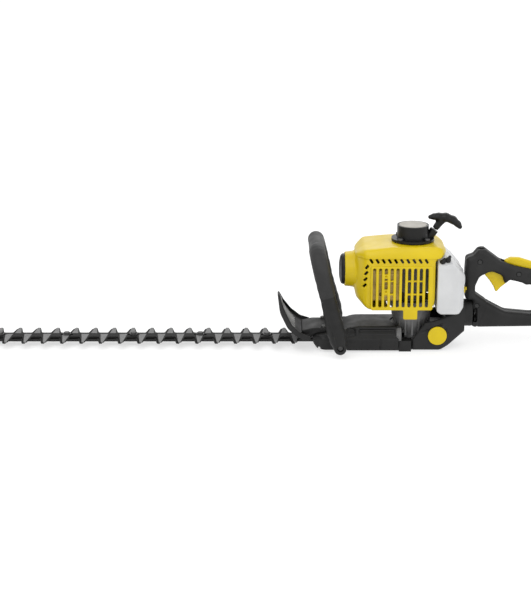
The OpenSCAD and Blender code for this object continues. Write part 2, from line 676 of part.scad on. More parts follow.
module starter_handle() color("black") difference() {
    union() {
        along_y(-10, 10) outline([[24, 240, 4], [31, 231, 4], [44, 229.5, 5], [58, 233, 10], [74, 228, 12],
            [84, 216, 3], [89, 219, 3], [86, 231, 12], [74, 240, 16], [57, 246, 16], [34, 248, 10]]);
        starter_outlet(6, 3, 20);
    }
    starter_outlet(1.75, -10, 17);
}

// ================= Fuel tank =================
module fuel_tank() {
    side = [[43, 78, 3], [50, 73, 4], [74, 75, 10], [90, 97, 12], [90, 121, 8], [93, 131, 8],
        [93, 143, 12], [64, 174, 14], [54, 177, 4], [43, 177, 3]];
    plan = [[43, -58, 4], [81, -58, 12], [93, -46, 12], [93, 46, 12], [81, 58, 12], [43, 58, 4]];
    color("whitesmoke") difference() {
        intersection() {
            along_y(-60, 60) outline(side);
            along_z(60, 200) outline(plan);
        }
        intersection() {
            along_y(-60, 60) outline(inset(side, wall));
            along_z(60, 200) outline(inset(plan, wall));
        }
        rod_y(66, 125, 50, 60, 12.5);
        for (g = grommets) rod_y(g.x, g.y, -60, -50, 3);
    }
}
grommets = [[49, 165], [59, 169]];
module tank_grommets() color("black") for (g = grommets) difference() {
    union() {
        rod_y(g.x, g.y, -62, -58, 5);
        rod_y(g.x, g.y, -58, -54, 3);
    }
    rod_y(g.x, g.y, -64, -50, 1.2);
}
module fuel_cap() color("dimgray") difference() {
    union() {
        rod_y(66, 125, 50, 58.3, 12.4);
        rod_y(66, 125, 58.3, 68, 18);
    }
    for (a = [0:30:330]) translate([66, 0, 125]) rotate([0, a, 0]) rod_y(18.5, 0, 59, 70, 1.8);
}

// ================= Rear handle =================
function grip_outer(t) = inset([[joint_x, 36, 3], [218, 37.5, 40], [292, 45.5, 18], [312, 64, 14], [314, 104, 14],
    [300, 121, 10], [213, 146, 20], [184, 152, 12], [158, 161.5, 10], [131, 182, 5], [119, 182, 4],
    [110, 171, 4], [97, 166.5, 6], [96, 142, 0], [98, 87, 2], [joint_x, 87, 0]], t);
function grip_inner(t) = inset([[115, 100, 6], [142, 81, 20], [170, 66, 20], [217, 61.5, 40], [284, 69, 12],
    [289, 88, 10], [276, 98, 8], [240, 107, 10], [204, 118, 10], [191, 122, 6], [177, 125, 1],
    [168, 117, 1.5], [163, 133, 10], [143, 142, 14], [122, 131, 10], [115, 114, 8]], t);
grip_screw_xz = [[121, 160], [118, 78], [192, 137], [300, 66], [298, 110]];
module grip_half(left) {
    difference() {
        along_y(0, grip_half_w) difference() {
            outline(grip_outer(0));
            outline(grip_inner(0));
        }
        along_y(-1, grip_half_w - grip_wall) difference() {
            outline(grip_outer(grip_wall));
            outline(grip_inner(-grip_wall));
            for (p = grip_screw_xz) translate(p) circle(r = 4.5);
            translate([joint_x + 3, 43]) square([20, 36]);
        }
        rod_x(0, swivel_z, 100, 150, 12 + run_fit);
        rod_x(0, swivel_z, 137, 150, 16.5);
        box(124, 186, -1, 7, 94, 145);
        along_y(-1, 6.5) outline([[156, 170, 0], [167, 143, 2], [243, 113, 3], [262, 113, 3], [262, 150, 0]]);
        rod_z(button_x, 0, 170, 200, 5 + fit);
        for (p = grip_screw_xz) rod_y(p.x, p.y, -1, left ? 30 : 12, 1.75);
        if (left) for (p = grip_screw_xz) rod_y(p.x, p.y, grip_half_w - 2, 30, 4);
        if (left) rod_x(14, 110, 90, 99, 3 + run_fit);
    }
}
module left_handle_shell() color("dimgray") mirror([0, 1, 0]) grip_half(true);
module right_handle_shell() color("dimgray") grip_half(false);
module handle_screws() color("gray") for (p = grip_screw_xz) {
    rod_y(p.x, p.y, -(grip_half_w - 2), 12, 1.75);
    rod_y(p.x, p.y, -(grip_half_w - thin), -(grip_half_w - 2), 3.9);
}
module handle_pins() color("silver") for (p = [trigger_pivot, lever_pivot])
    rod_y(p.x, p.y, -(grip_half_w - grip_wall), grip_half_w - grip_wall, 2);
module trigger() color("gold") difference() {
    along_y(-6, 6) outline([[153, 98, 1.5], [161, 108, 6], [173, 118, 3], [172, 133, 4], [146, 153, 4],
        [136, 153, 4], [131, 132, 3], [142, 119, 14], [149, 108, 12]]);
    rod_y(trigger_pivot.x, trigger_pivot.y, -7, 7, 2 + run_fit);
}
module lockoff_lever() color("gold") difference() {
    along_y(-6, 6) outline([[164, 159, 2], [170, 154, 2], [214, 141, 4], [240, 131, 3],
        [244, 118, 5], [256, 118, 5], [258, 138, 4], [214, 158, 20], [192, 165, 16], [176, 166, 5]]);
    rod_y(lever_pivot.x, lever_pivot.y, -7, 7, 2 + run_fit);
}
module swivel_lock_lever() color("khaki") {
    rod_x(-14, 110, 91.2, 95.4, 5);
    rod_x(-14, 110, 95.4, 98.6, 3);
    box(91.2, 94.5, -29, -14, 106.5, 113.5);
}
module stop_switch() color("black") {
    rod_z(button_x, 0, 173.5, 176.5, 5.8);
    rod_z(button_x, 0, 176.5, 184.5, 5);
}

base_cover();
gearcase();
bearings();
front_housing();
hand_guard();
front_handle();
machine_screws();
guide_bar();
blade_bolts();
rear_arm();
rubber_dampers();
damper_caps();
swivel_tube();
crankcase();
engine_cylinder();
spark_plug();
spark_plug_cover();
muffler();
intake_manifold();
carburettor();
air_filter_base();
air_filter_element();
air_filter_cover();
engine_cover();
ignition_coil();
starter_housing();
starter_disc();
recoil_spring();
fuel_tank();
tank_grommets();
lower_blade();
lower_conrod();
lower_blade_pin();
upper_blade();
upper_conrod();
upper_blade_pin();
crankshaft();
flywheel();
flywheel_nut();
clutch_hub();
clutch_drum();
cam_gear();
piston();
piston_pin();
connecting_rod();
crank_pin();
starter_reel();
starter_rope_coil();
starter_handle();
starter_rope_end();
left_handle_shell();
right_handle_shell();
handle_screws();
handle_pins();
trigger();
lockoff_lever();
swivel_lock_lever();
stop_switch();
choke_lever();
fuel_cap();
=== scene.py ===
"""Looks of the hedge trimmer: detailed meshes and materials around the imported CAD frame.

Shapes are worked out in millimetres in the frame's own axes and turned into metres when a mesh is made.
Moulded parts are signed distance fields, turned into smooth quads by a surface net.
"""
import json
import math

import bmesh
import bpy
import numpy as np
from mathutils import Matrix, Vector


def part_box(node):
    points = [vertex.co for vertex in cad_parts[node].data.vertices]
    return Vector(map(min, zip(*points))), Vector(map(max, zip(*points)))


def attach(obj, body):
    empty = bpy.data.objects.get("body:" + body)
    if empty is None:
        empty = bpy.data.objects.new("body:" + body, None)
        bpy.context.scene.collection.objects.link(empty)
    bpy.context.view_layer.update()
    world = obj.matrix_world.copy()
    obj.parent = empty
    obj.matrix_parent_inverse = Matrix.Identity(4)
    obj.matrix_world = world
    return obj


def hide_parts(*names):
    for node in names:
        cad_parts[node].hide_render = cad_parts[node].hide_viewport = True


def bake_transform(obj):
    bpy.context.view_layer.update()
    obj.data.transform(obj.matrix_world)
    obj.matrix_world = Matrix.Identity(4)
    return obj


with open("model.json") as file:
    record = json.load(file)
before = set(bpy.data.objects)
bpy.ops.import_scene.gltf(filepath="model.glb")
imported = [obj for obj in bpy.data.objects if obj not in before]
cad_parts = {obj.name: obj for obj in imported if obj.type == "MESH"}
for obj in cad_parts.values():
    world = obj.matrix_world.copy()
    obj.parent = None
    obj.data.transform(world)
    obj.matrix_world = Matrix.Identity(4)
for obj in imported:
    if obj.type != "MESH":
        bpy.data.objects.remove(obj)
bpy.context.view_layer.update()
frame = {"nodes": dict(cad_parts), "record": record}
MM = 0.001


# ---- measuring the frame
def corners(node):
    """Lowest and highest corner of a CAD node, in millimetres."""
    low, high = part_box(node)
    return Vector(low) / MM, Vector(high) / MM


def from_corner(across, up, points):
    """An outline whose points are measured from one corner."""
    return [(across + p[0], up + p[1], p[2]) for p in points]


# ---- outlines
def unit(v):
    return v / np.linalg.norm(v)


def mirrored(points, axis):
    """Outline points followed by their mirror image across one axis, in reverse order."""
    if axis == 0:
        return points + [(-a, b, r) for a, b, r in reversed(points)]
    return points + [(a, -b, r) for a, b, r in reversed(points)]


def rounded(points, steps=6):
    """The closed outline of [across, up, radius] points, with its corners rounded."""
    pts = [np.array(p[:2], float) for p in points]
    out = []
    for i, b in enumerate(pts):
        radius = points[i][2]
        a, c = pts[i - 1], pts[(i + 1) % len(pts)]
        u, v = unit(a - b), unit(c - b)
        half = math.acos(max(-1.0, min(1.0, float(u @ v)))) / 2
        if radius <= 0 or half > 1.55:
            out.append(b)
            continue
        middle = b + unit(u + v) * radius / math.sin(half)
        p, q = b + u * radius / math.tan(half) - middle, b + v * radius / math.tan(half) - middle
        span = math.pi - 2 * half
        for k in range(steps + 1):
            t = k / steps
            out.append(middle + (p * math.sin((1 - t) * span) + q * math.sin(t * span)) / math.sin(span))
    return np.array(out)


def rect(x0, x1, y0, y1, r):
    """A rectangle with round corners, as outline points."""
    return [(x0, y0, r), (x1, y0, r), (x1, y1, r), (x0, y1, r)]


# ---- distance fields
class Cells:
    """A block of evenly spaced sample points."""

    def __init__(self, low, high, step):
        self.low, self.step = np.array(low, float), step
        counts = [int(math.ceil((h - l) / step)) + 1 for l, h in zip(low, high)]
        axes = [l + step * np.arange(n) for l, n in zip(low, counts)]
        self.x = axes[0][:, None, None]
        self.y = axes[1][None, :, None]
        self.z = axes[2][None, None, :]


def cells_round(low, high, margin, step):
    """Sample points over a box with a margin on every side."""
    return Cells([v - margin for v in low], [v + margin for v in high], step)


def outline_field(u, v, points):
    """Signed distance to a closed outline, negative inside it."""
    loop = rounded(points)
    best, inside = None, None
    for a, b in zip(loop, np.roll(loop, -1, axis=0)):
        edge = b - a
        du, dv = u - a[0], v - a[1]
        t = np.clip((du * edge[0] + dv * edge[1]) / max(edge @ edge, 1e-12), 0, 1)
        d2 = (du - t * edge[0]) ** 2 + (dv - t * edge[1]) ** 2
        best = d2 if best is None else np.minimum(best, d2)
        if a[1] != b[1]:
            hit = ((a[1] > v) != (b[1] > v)) & (du < edge[0] * dv / edge[1])
            inside = hit if inside is None else inside ^ hit
    return np.where(inside, -1.0, 1.0) * np.sqrt(best)


def side_view(c, points):
    """The field of an outline drawn in X and Z."""
    return outline_field(c.x, c.z, points)


def slab(flat, across, low, high, r=0.0):
    """An outline field given thickness, with its rim rounded by r."""
    w = np.abs(across - (low + high) / 2) - (high - low) / 2 + r
    a = flat + r
    return np.minimum(np.maximum(a, w), 0) + np.hypot(np.maximum(a, 0), np.maximum(w, 0)) - r


def join(a, b, soft=0.0):
    """Both fields together, with the seam between them filled by soft."""
    if soft <= 0:
        return np.minimum(a, b)
    h = np.clip(0.5 + 0.5 * (b - a) / soft, 0, 1)
    return b + (a - b) * h - soft * h * (1 - h)


def both(a, b, soft=0.0):
    """Where the two fields overlap."""
    return -join(-a, -b, soft)


def cut(a, b, soft=0.0):
    """The first field without the second."""
    return both(a, -b, soft)


def rod(c, axis, p, q, low, high, r, rim=0.0):
    """A round bar along one axis. p and q are its centre on the other two axes, in X, Y, Z order."""
    along = {"x": c.x, "y": c.y, "z": c.z}[axis]
    u, v = {"x": (c.y, c.z), "y": (c.x, c.z), "z": (c.x, c.y)}[axis]
    return slab(np.hypot(u - p, v - q) - r, along, low, high, rim)


def side_rod(c, side, x, z, inner, outer, r, rim=0.0):
    """A round bar across the machine, on the side -1 or 1, between two distances from the middle."""
    return rod(c, "y", x, z, *sorted((side * inner, side * outer)), r, rim)


def block(c, low, high, r=0.0):
    """A box between two corners, with its edges rounded by r."""
    mid = [(a + b) / 2 for a, b in zip(low, high)]
    half = [(b - a) / 2 - r for a, b in zip(low, high)]
    w = [np.abs(g - m) - h for g, m, h in zip((c.x, c.y, c.z), mid, half)]
    outside = np.sqrt(sum(np.maximum(k, 0) ** 2 for k in w))
    return outside + np.minimum(np.maximum(np.maximum(w[0], w[1]), w[2]), 0) - r


def chain(c, points, squash=(1, 1, 1), soft=0.0):
    """A run of balls and cones through [x, y, z, radius] points. squash stretches it along each axis."""
    field = None
    s = np.array(squash, float)
    for a, b in zip(points[:-1], points[1:]):
        p, q = np.array(a[:3], float) / s, np.array(b[:3], float) / s
        e = q - p
        dx, dy, dz = c.x / s[0] - p[0], c.y / s[1] - p[1], c.z / s[2] - p[2]
        t = np.clip((dx * e[0] + dy * e[1] + dz * e[2]) / max(e @ e, 1e-9), 0, 1)
        away = np.sqrt((dx - t * e[0]) ** 2 + (dy - t * e[1]) ** 2 + (dz - t * e[2]) ** 2)
        d = away - (a[3] + (b[3] - a[3]) * t)
        field = d if field is None else join(field, d, soft)
    return field


def surface_net(field, c):
    """Vertices and quads of the surface where the field is zero."""
    shape = np.array(field.shape) - 1
    offsets = [(i, j, k) for i in (0, 1) for j in (0, 1) for k in (0, 1)]
    sub = [field[o[0]:o[0] + shape[0], o[1]:o[1] + shape[1], o[2]:o[2] + shape[2]] for o in offsets]
    low, high = np.minimum.reduce(sub), np.maximum.reduce(sub)
    cells = np.argwhere((low < 0) & (high >= 0))
    value = np.stack([s[tuple(cells.T)] for s in sub], axis=1)
    total, count = np.zeros((len(cells), 3)), np.zeros(len(cells))
    for i, a in enumerate(offsets):
        for j in range(i + 1, 8):
            b = offsets[j]
            if sum(abs(p - q) for p, q in zip(a, b)) != 1:
                continue
            va, vb = value[:, i], value[:, j]
            crossed = (va < 0) != (vb < 0)
            t = np.where(crossed, va / np.where(crossed, va - vb, 1), 0)[:, None]
            total += np.where(crossed[:, None], np.array(a) + t * (np.array(b) - np.array(a)), 0)
            count += crossed
    verts = c.low + c.step * (cells + total / count[:, None])
    index = -np.ones(shape, np.int64)
    index[tuple(cells.T)] = np.arange(len(cells))
    quads = []
    inside = field < 0
    for axis in range(3):
        u, v = (axis + 1) % 3, (axis + 2) % 3
        first = [slice(None)] * 3
        second = [slice(None)] * 3
        first[axis], second[axis] = slice(0, -1), slice(1, None)
        a, b = inside[tuple(first)], inside[tuple(second)]
        at = np.argwhere(a != b)
        at = at[(at[:, u] > 0) & (at[:, v] > 0) & (at[:, u] < shape[u]) & (at[:, v] < shape[v])]
        ring = []
        for du, dv in ((1, 1), (0, 1), (0, 0), (1, 0)):
            cell = at.copy()
            cell[:, u] -= du
            cell[:, v] -= dv
            ring.append(index[tuple(cell.T)])
        quad = np.stack(ring, axis=1)
        flip = ~a[tuple(at.T)]
        quad[flip] = quad[flip][:, ::-1]
        quads.append(quad[(quad >= 0).all(axis=1)])
    return verts, np.concatenate(quads)


def add_object(name, data):
    """A new object in the scene."""
    obj = bpy.data.objects.new(name, data)
    bpy.context.scene.collection.objects.link(obj)
    return obj


def mesh_object(name, verts, faces):
    """A smooth-shaded mesh from millimetre vertices and equal-sided faces."""
    mesh = bpy.data.meshes.new(name)
    faces = np.asarray(faces)
    mesh.vertices.add(len(verts))
    mesh.vertices.foreach_set("co", (np.asarray(verts, float) * MM).ravel())
    mesh.loops.add(faces.size)
    mesh.loops.foreach_set("vertex_index", faces.ravel())
    mesh.polygons.add(len(faces))
    mesh.polygons.foreach_set("loop_start", np.arange(0, faces.size, faces.shape[1]))
    mesh.update(calc_edges=True)
    mesh.validate()
    mesh.polygons.foreach_set("use_smooth", np.ones(len(mesh.polygons), bool))
    return add_object(name, mesh)


def moulded(name, field, c, keep=1.0):
    """The mesh of a field. keep is the share of its triangles that stays."""
    verts, quads = surface_net(field, c)
    obj = mesh_object(name, verts, quads)
    if keep < 1:
        thin = obj.modifiers.new("thin_out", "DECIMATE")
        thin.ratio = keep
        graph = bpy.context.evaluated_depsgraph_get()
        slim = bpy.data.meshes.new_from_object(obj.evaluated_get(graph))
        obj.modifiers.clear()
        obj.data = slim
    return obj


# ---- materials
def nodes_of(material):
    """The node tree, the shader and the object coordinates of a fresh material."""
    material.use_nodes = True
    tree = material.node_tree
    tree.nodes.clear()
    out = tree.nodes.new("ShaderNodeOutputMaterial")
    shader = tree.nodes.new("ShaderNodeBsdfPrincipled")
    tree.links.new(shader.outputs["BSDF"], out.inputs["Surface"])
    place = tree.nodes.new("ShaderNodeTexCoord")
    return tree, shader, place.outputs["Object"]


def noise(tree, place, scale, detail=4.0, stretch=None):
    """Noise at a scale per metre, stretched along the axes where stretch is given."""
    if stretch:
        bend = tree.nodes.new("ShaderNodeMapping")
        bend.inputs["Scale"].default_value = stretch
        tree.links.new(place, bend.inputs["Vector"])
        place = bend.outputs["Vector"]
    n = tree.nodes.new("ShaderNodeTexNoise")
    n.inputs["Scale"].default_value = scale
    n.inputs["Detail"].default_value = detail
    tree.links.new(place, n.inputs["Vector"])
    return n.outputs["Fac"]


def ramp(tree, fac, stops):
    """Colours at given places along a factor."""
    r = tree.nodes.new("ShaderNodeValToRGB")
    while len(r.color_ramp.elements) < len(stops):
        r.color_ramp.elements.new(0.5)
    for element, (at, colour) in zip(r.color_ramp.elements, stops):
        element.position = at
        element.color = (*colour, 1.0) if len(colour) == 3 else colour
    tree.links.new(fac, r.inputs["Fac"])
    return r.outputs["Color"]


def grey(value):
    return (value, value, value)


def mix(tree, fac, a, b):
    """Two colours or colour outputs, mixed by a factor."""
    m = tree.nodes.new("ShaderNodeMix")
    m.data_type = "RGBA"
    tree.links.new(fac, m.inputs["Factor"])
    for socket, value in ((m.inputs[6], a), (m.inputs[7], b)):
        if isinstance(value, tuple):
            socket.default_value = (*value, 1.0)
        else:
            tree.links.new(value, socket)
    return m.outputs[2]


def spread(tree, fac, limits):
    """A grey value that runs between two limits as the factor goes up."""
    return ramp(tree, fac, [(0.3, grey(limits[0])), (0.7, grey(limits[1]))])


def bump(tree, shader, heights):
    """Chains bumps of (height, strength, distance in metres)."""
    normal = None
    for height, strength, distance in heights:
        b = tree.nodes.new("ShaderNodeBump")
        b.inputs["Strength"].default_value = strength
        b.inputs["Distance"].default_value = distance
        tree.links.new(height, b.inputs["Height"])
        if normal is not None:
            tree.links.new(normal, b.inputs["Normal"])
        normal = b.outputs["Normal"]
    tree.links.new(normal, shader.inputs["Normal"])


def moulded_plastic(name, base, light, rough, grain=900.0, grain_depth=0.00012, scuff=0.25):
    """Moulded plastic: cloudy colour, fine grain and dusty scuffs."""
    material = bpy.data.materials.new(name)
    tree, shader, place = nodes_of(material)
    cloud = noise(tree, place, 18, 5)
    colour = ramp(tree, cloud, [(0.35, base), (0.68, light)])
    scratches = noise(tree, place, 60, 8, (1.0, 5.0, 0.6))
    marks = ramp(tree, scratches, [(0.60, grey(0.0)), (0.74, grey(scuff))])
    pale = tuple(min(1.0, c * 1.25 + 0.008) for c in light)
    tree.links.new(mix(tree, marks, colour, pale), shader.inputs["Base Color"])
    tree.links.new(spread(tree, noise(tree, place, 45, 6), rough), shader.inputs["Roughness"])
    bump(tree, shader, [(noise(tree, place, grain, 2), 0.5, grain_depth), (scratches, 0.15, 0.0002)])
    shader.inputs["Specular IOR Level"].default_value = 0.26
    return material


def metal(name, base, light, rough, grain_stretch=None, grain=260.0, depth=0.0001, metallic=1.0):
    """Bare metal: grain, tarnish and small nicks."""
    material = bpy.data.materials.new(name)
    tree, shader, place = nodes_of(material)
    shader.inputs["Metallic"].default_value = metallic
    colour = ramp(tree, noise(tree, place, 35, 6), [(0.32, base), (0.66, light)])
    stain = ramp(tree, noise(tree, place, 12, 7), [(0.58, grey(0.0)), (0.78, grey(0.35))])
    dark = tuple(c * 0.55 for c in base)
    tree.links.new(mix(tree, stain, colour, dark), shader.inputs["Base Color"])
    fine = noise(tree, place, grain, 5, grain_stretch)
    tree.links.new(spread(tree, fine, rough), shader.inputs["Roughness"])
    bump(tree, shader, [(fine, 0.35, depth), (noise(tree, place, 40, 8), 0.1, 0.0003)])
    return material


def tank_plastic():
    """Milky plastic that light sinks into."""
    material = moulded_plastic("tank_plastic", (0.50, 0.505, 0.51), (0.57, 0.575, 0.58), (0.30, 0.44),
                               grain=500, grain_depth=0.00008, scuff=0.1)
    shader = material.node_tree.nodes["Principled BSDF"]
    shader.inputs["Subsurface Weight"].default_value = 0.35
    shader.inputs["Subsurface Radius"].default_value = (0.012, 0.012, 0.011)
    return material


def yellow_plastic():
    """Glossy yellow plastic under a thin clear coat."""
    material = moulded_plastic("yellow_plastic", (0.50, 0.365, 0.0008), (0.57, 0.425, 0.003), (0.28, 0.42),
                               grain=420, grain_depth=0.00006, scuff=0.08)
    shader = material.node_tree.nodes["Principled BSDF"]
    shader.inputs["Coat Weight"].default_value = 0.12
    shader.inputs["Coat Roughness"].default_value = 0.15
    return material


def webs_painted_highlight():
    """Black plastic painted pale grey as a highlight on the webs, with the usual scuffs."""
    return moulded_plastic("webs_painted_highlight", grey(0.24), grey(0.48), (0.5, 0.7))


# The teeth's spacing, how far the far row is set back, and the first tooth's distance from the rear end.
TOOTH_PITCH, TOOTH_OFFSET, TOOTH_START = 35.0, 19.5, 123.0


def calc(tree, operation, a, b):
    """One step of arithmetic on sockets or numbers."""
    n = tree.nodes.new("ShaderNodeMath")
    n.operation = operation
    for socket, value in zip(n.inputs, (a, b)):
        if isinstance(value, (int, float)):
            socket.default_value = value
        else:
            tree.links.new(value, socket)
    return n.outputs[0]


def tooth_mask(tree, x, y, reach, side, first, root):
    """One on the teeth of one side of a blade. root is where the ground faces begin."""
    off = calc(tree, "PINGPONG", calc(tree, "SUBTRACT", x, first), TOOTH_PITCH * MM / 2)
    back = calc(tree, "SUBTRACT", reach, calc(tree, "MULTIPLY", y, side))
    flank_slope, tip_half_width = 0.105, 0.0022
    width = calc(tree, "ADD", calc(tree, "MULTIPLY", back, flank_slope), tip_half_width)
    near = calc(tree, "LESS_THAN", off, width)
    outboard = calc(tree, "GREATER_THAN", calc(tree, "MULTIPLY", y, side), root * side)
    return calc(tree, "MULTIPLY", near, outboard)


def blade_steel():
    """Dark hardened steel whose teeth are ground bright on the upper face."""
    material = bpy.data.materials.new("blade_steel")
    tree, shader, place = nodes_of(material)
    shader.inputs["Specular IOR Level"].default_value = 0.06
    axes = tree.nodes.new("ShaderNodeSeparateXYZ")
    tree.links.new(place, axes.inputs[0])
    x, y, z = axes.outputs
    low, high = corners("upper_blade")
    near_tooth = (high.x - TOOTH_START) * MM
    far_tooth = near_tooth - TOOTH_OFFSET * MM
    rows = ((-1, near_tooth, 0.004), (1, far_tooth, 0.009))
    masks = [tooth_mask(tree, x, y, high.y * MM, side, first, root) for side, first, root in rows]
    teeth = calc(tree, "MAXIMUM", masks[0], masks[1])
    ground = calc(tree, "MULTIPLY", teeth, calc(tree, "GREATER_THAN", z, (low.z + 0.3) * MM))
    dark = ramp(tree, noise(tree, place, 35, 6), [(0.32, grey(0.008)), (0.66, grey(0.015))])
    bright = ramp(tree, noise(tree, place, 120, 5, (6, 0.8, 1)), [(0.32, grey(0.14)), (0.68, grey(0.20))])
    tree.links.new(mix(tree, ground, dark, bright), shader.inputs["Base Color"])
    fine = noise(tree, place, 300, 5, (8, 0.6, 8))
    tree.links.new(spread(tree, fine, (0.48, 0.62)), shader.inputs["Roughness"])
    bump(tree, shader, [(fine, 0.35, 0.0001), (noise(tree, place, 40, 8), 0.1, 0.0003)])
    return material


def rope_braid():
    """Braided nylon: two sets of crossing strands."""
    material = bpy.data.materials.new("rope_cord")
    tree, shader, place = nodes_of(material)
    waves = []
    for tilt in (0.7, -0.7):
        turn = tree.nodes.new("ShaderNodeMapping")
        turn.inputs["Rotation"].default_value = (tilt, tilt, 0.0)
        tree.links.new(place, turn.inputs["Vector"])
        w = tree.nodes.new("ShaderNodeTexWave")
        w.inputs["Scale"].default_value = 220.0
        tree.links.new(turn.outputs["Vector"], w.inputs["Vector"])
        waves.append(w.outputs["Fac"])
    weave = calc(tree, "MULTIPLY", waves[0], waves[1])
    colour = ramp(tree, weave, [(0.0, (0.30, 0.30, 0.28)), (0.5, (0.72, 0.72, 0.68))])
    tree.links.new(colour, shader.inputs["Base Color"])
    tree.links.new(spread(tree, noise(tree, place, 300), (0.7, 0.9)), shader.inputs["Roughness"])
    bump(tree, shader, [(weave, 0.6, 0.0003)])
    return material


def plain_materials():
    """The plain moulded and metal slots."""
    plastics = {
        "black_plastic": (grey(0.009), grey(0.015), (0.46, 0.62)),
        "black_grip": (grey(0.020), grey(0.030), (0.46, 0.64), 700, 0.0002, 0.15),
        "black_gloss": (grey(0.004), grey(0.008), (0.30, 0.45), 1200, 0.00005, 0.10),
        "rubber_black": (grey(0.010), grey(0.018), (0.70, 0.88), 1100, 0.0002),
        "starter_plate": ((0.27, 0.255, 0.225), (0.34, 0.32, 0.285), (0.34, 0.50), 800, 0.0001, 0.2),
        "filter_felt": ((0.42, 0.36, 0.22), (0.58, 0.52, 0.36), (0.85, 0.95), 350, 0.0009, 0.3),
        "plug_ceramic": ((0.74, 0.73, 0.70), (0.86, 0.85, 0.82), (0.12, 0.22), 900, 0.00003, 0.1),
    }
    metals = {
        # Cast aluminium is kept dark grey as painted shade: its parts are seen in shadow behind the cover's
        # slots.
        "cast_aluminium": (grey(0.10), grey(0.16), (0.52, 0.68), None, 420, 0.00025, 0.6),
        "bar_aluminium": (grey(0.012), grey(0.022), (0.42, 0.56), (0.2, 6, 6), 300, 0.0001, 0.5),
        "bolt_steel": (grey(0.06), grey(0.11), (0.38, 0.54), None, 260, 0.0001, 0.7),
        "black_steel": (grey(0.018), grey(0.032), (0.36, 0.52), None, 260, 0.0001, 0.5),
        "bright_steel": (grey(0.38), grey(0.50), (0.20, 0.34), (1, 1, 12), 300, 0.00005),
        "forged_steel": (grey(0.15), grey(0.24), (0.40, 0.60), None, 500, 0.0003),
        # The muffler's brown-yellow is painted reflection of the yellow cover's inside, seen through the
        # slots.
        "muffler_steel": ((0.24, 0.17, 0.045), (0.40, 0.29, 0.09), (0.40, 0.62), None, 300, 0.0002, 0.45),
    }
    made = {name: moulded_plastic(name, *recipe) for name, recipe in plastics.items()}
    made.update({name: metal(name, *recipe) for name, recipe in metals.items()})
    return made


MATERIALS = plain_materials()
MATERIALS.update(yellow_plastic=yellow_plastic(), tank_plastic=tank_plastic(), blade_steel=blade_steel(),
                 rope_cord=rope_braid())


def dress(obj, slot, body, *nodes):
    """Gives a new piece its material and its body, and hides the CAD nodes that it stands for."""
    obj.data.materials.clear()
    obj.data.materials.append(MATERIALS[slot])
    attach(obj, body)
    if nodes:
        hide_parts(*nodes)
    return obj


# ---- engine cover
# From the muffler port's face to the edge that the cover's rear half is measured from.
COVER_LENGTH = 169.6
# The upright slots of the grille, and the two rows of slanted vents over and beside it.
SLOT_COUNT, SLOT_PITCH, SLOT_START = 10, 10.4, 118.3
TOP_VENT_COUNT, TOP_VENT_PITCH = 10, 10.9
SIDE_VENT_COUNT, SIDE_VENT_PITCH = 4, 11.5


def cover_form(c, low, high, rear):
    """The cover's outer shape, from its side view, plan and cross-section."""
    half = high.y
    side = from_corner(rear, high.z, [
        (-127, -118, 12), (-10, -118, 8), (-7.5, -98, 6), (-7.5, -24, 8), (11, -19, 5), (13, -10, 6),
        (-6, 0, 9), (-84, 0, 30), (-136, -7, 20), (-152, -18, 16), (-157, -80, 14), (-150, -101, 12),
        (-135, -114, 8)])
    plan = mirrored([(rear - 157, -26, 20), (rear - 132, -half, 30), (rear + 1, -half, 8),
                     (rear + 14, -30, 20)], 1)
    section = mirrored([(half, low.z - 5, 0), (half, high.z - 18, 10), (half - 12, high.z, 10)], 0)
    form = both(side_view(c, side), outline_field(c.x, c.y, plan), 9)
    return both(form, outline_field(c.y, c.z, section), 7)


def cover_outside(c, form, low, high, rear, port_z):
    """The crown over a set-back skirt, with the muffler port and the grille's border."""
    half = high.y
    crown = both(form, high.z - 21.5 - c.z)
    skirt = both(form + 1.6, c.z - (high.z - 20))
    body = join(crown, skirt, 1.5)
    radius = 31 + np.clip((c.x - low.x) * 0.12, 0, 4)
    port = slab(np.hypot(c.y, c.z - port_z) - radius, c.x, low.x, low.x + 26, 2.0)
    body = join(body, port, 3.0)
    grille = rect(rear - 124.5, rear - 13.5, low.z + 17.5, low.z + 99, 4)
    border = slab(side_view(c, grille), c.y, -half - 0.4, -half + 6, 0.8)
    return join(body, border, 0.8)


def cover_hollow(c, form, low, high, rear, port_z):
    """The space inside the cover, open below, at the port and towards the tank."""
    half, wall = high.y, 4.1
    inner = both(form + wall, low.z + 13 - c.z)
    hollow = join(inner, rod(c, "x", 0, port_z, low.x - 5, low.x + 40, 28.5))
    hollow = join(hollow, block(c, (rear - 92, -half + 4, low.z - 9), (rear - 12, half - 4, low.z + 25)))
    return join(hollow, block(c, (rear - 18, -46, low.z - 9), (rear + 5, 46, low.z + 27)))


def cover_grille(c, body, low, half, rear):
    """Cuts the upright slots, and adds the bars and bosses that cross them."""
    first = rear - SLOT_START
    for i in range(SLOT_COUNT):
        x = first + i * SLOT_PITCH
        slot = side_view(c, rect(x - 2.75, x + 2.75, low.z + 23, low.z + 95, 2.6))
        body = cut(body, slab(slot, c.y, -half - 5, -half + 7), 0.9)
    for start, end in ((2, 3), (6, 8)):
        for z in (low.z + 46.5, low.z + 71):
            bar = block(c, (first + start * SLOT_PITCH - 3.5, -half + 1.6, z - 1.6),
                        (first + end * SLOT_PITCH + 3.5, -half + 4.2, z + 1.6), 0.5)
            body = join(body, bar, 0.8)
    boss_x = first + 2 * SLOT_PITCH
    for z in (low.z + 52, low.z + 80):
        boss = rod(c, "y", boss_x, z, -half + 0.6, -half + 5, 4.4, 0.6)
        hole = rod(c, "y", boss_x, z, -half - 2, -half + 3.5, 1.9)
        body = cut(join(body, boss, 0.8), hole, 0.4)
    return body


def slanted(c, x, z, degrees, half_width, half_length):
    """The outline field of a slot leaning by an angle in the side view."""
    tilt = math.radians(degrees)
    u = (c.x - x) * math.cos(tilt) + (c.z - z) * math.sin(tilt)
    v = -(c.x - x) * math.sin(tilt) + (c.z - z) * math.cos(tilt)
    return both(np.abs(u) - half_width, np.abs(v) - half_length)


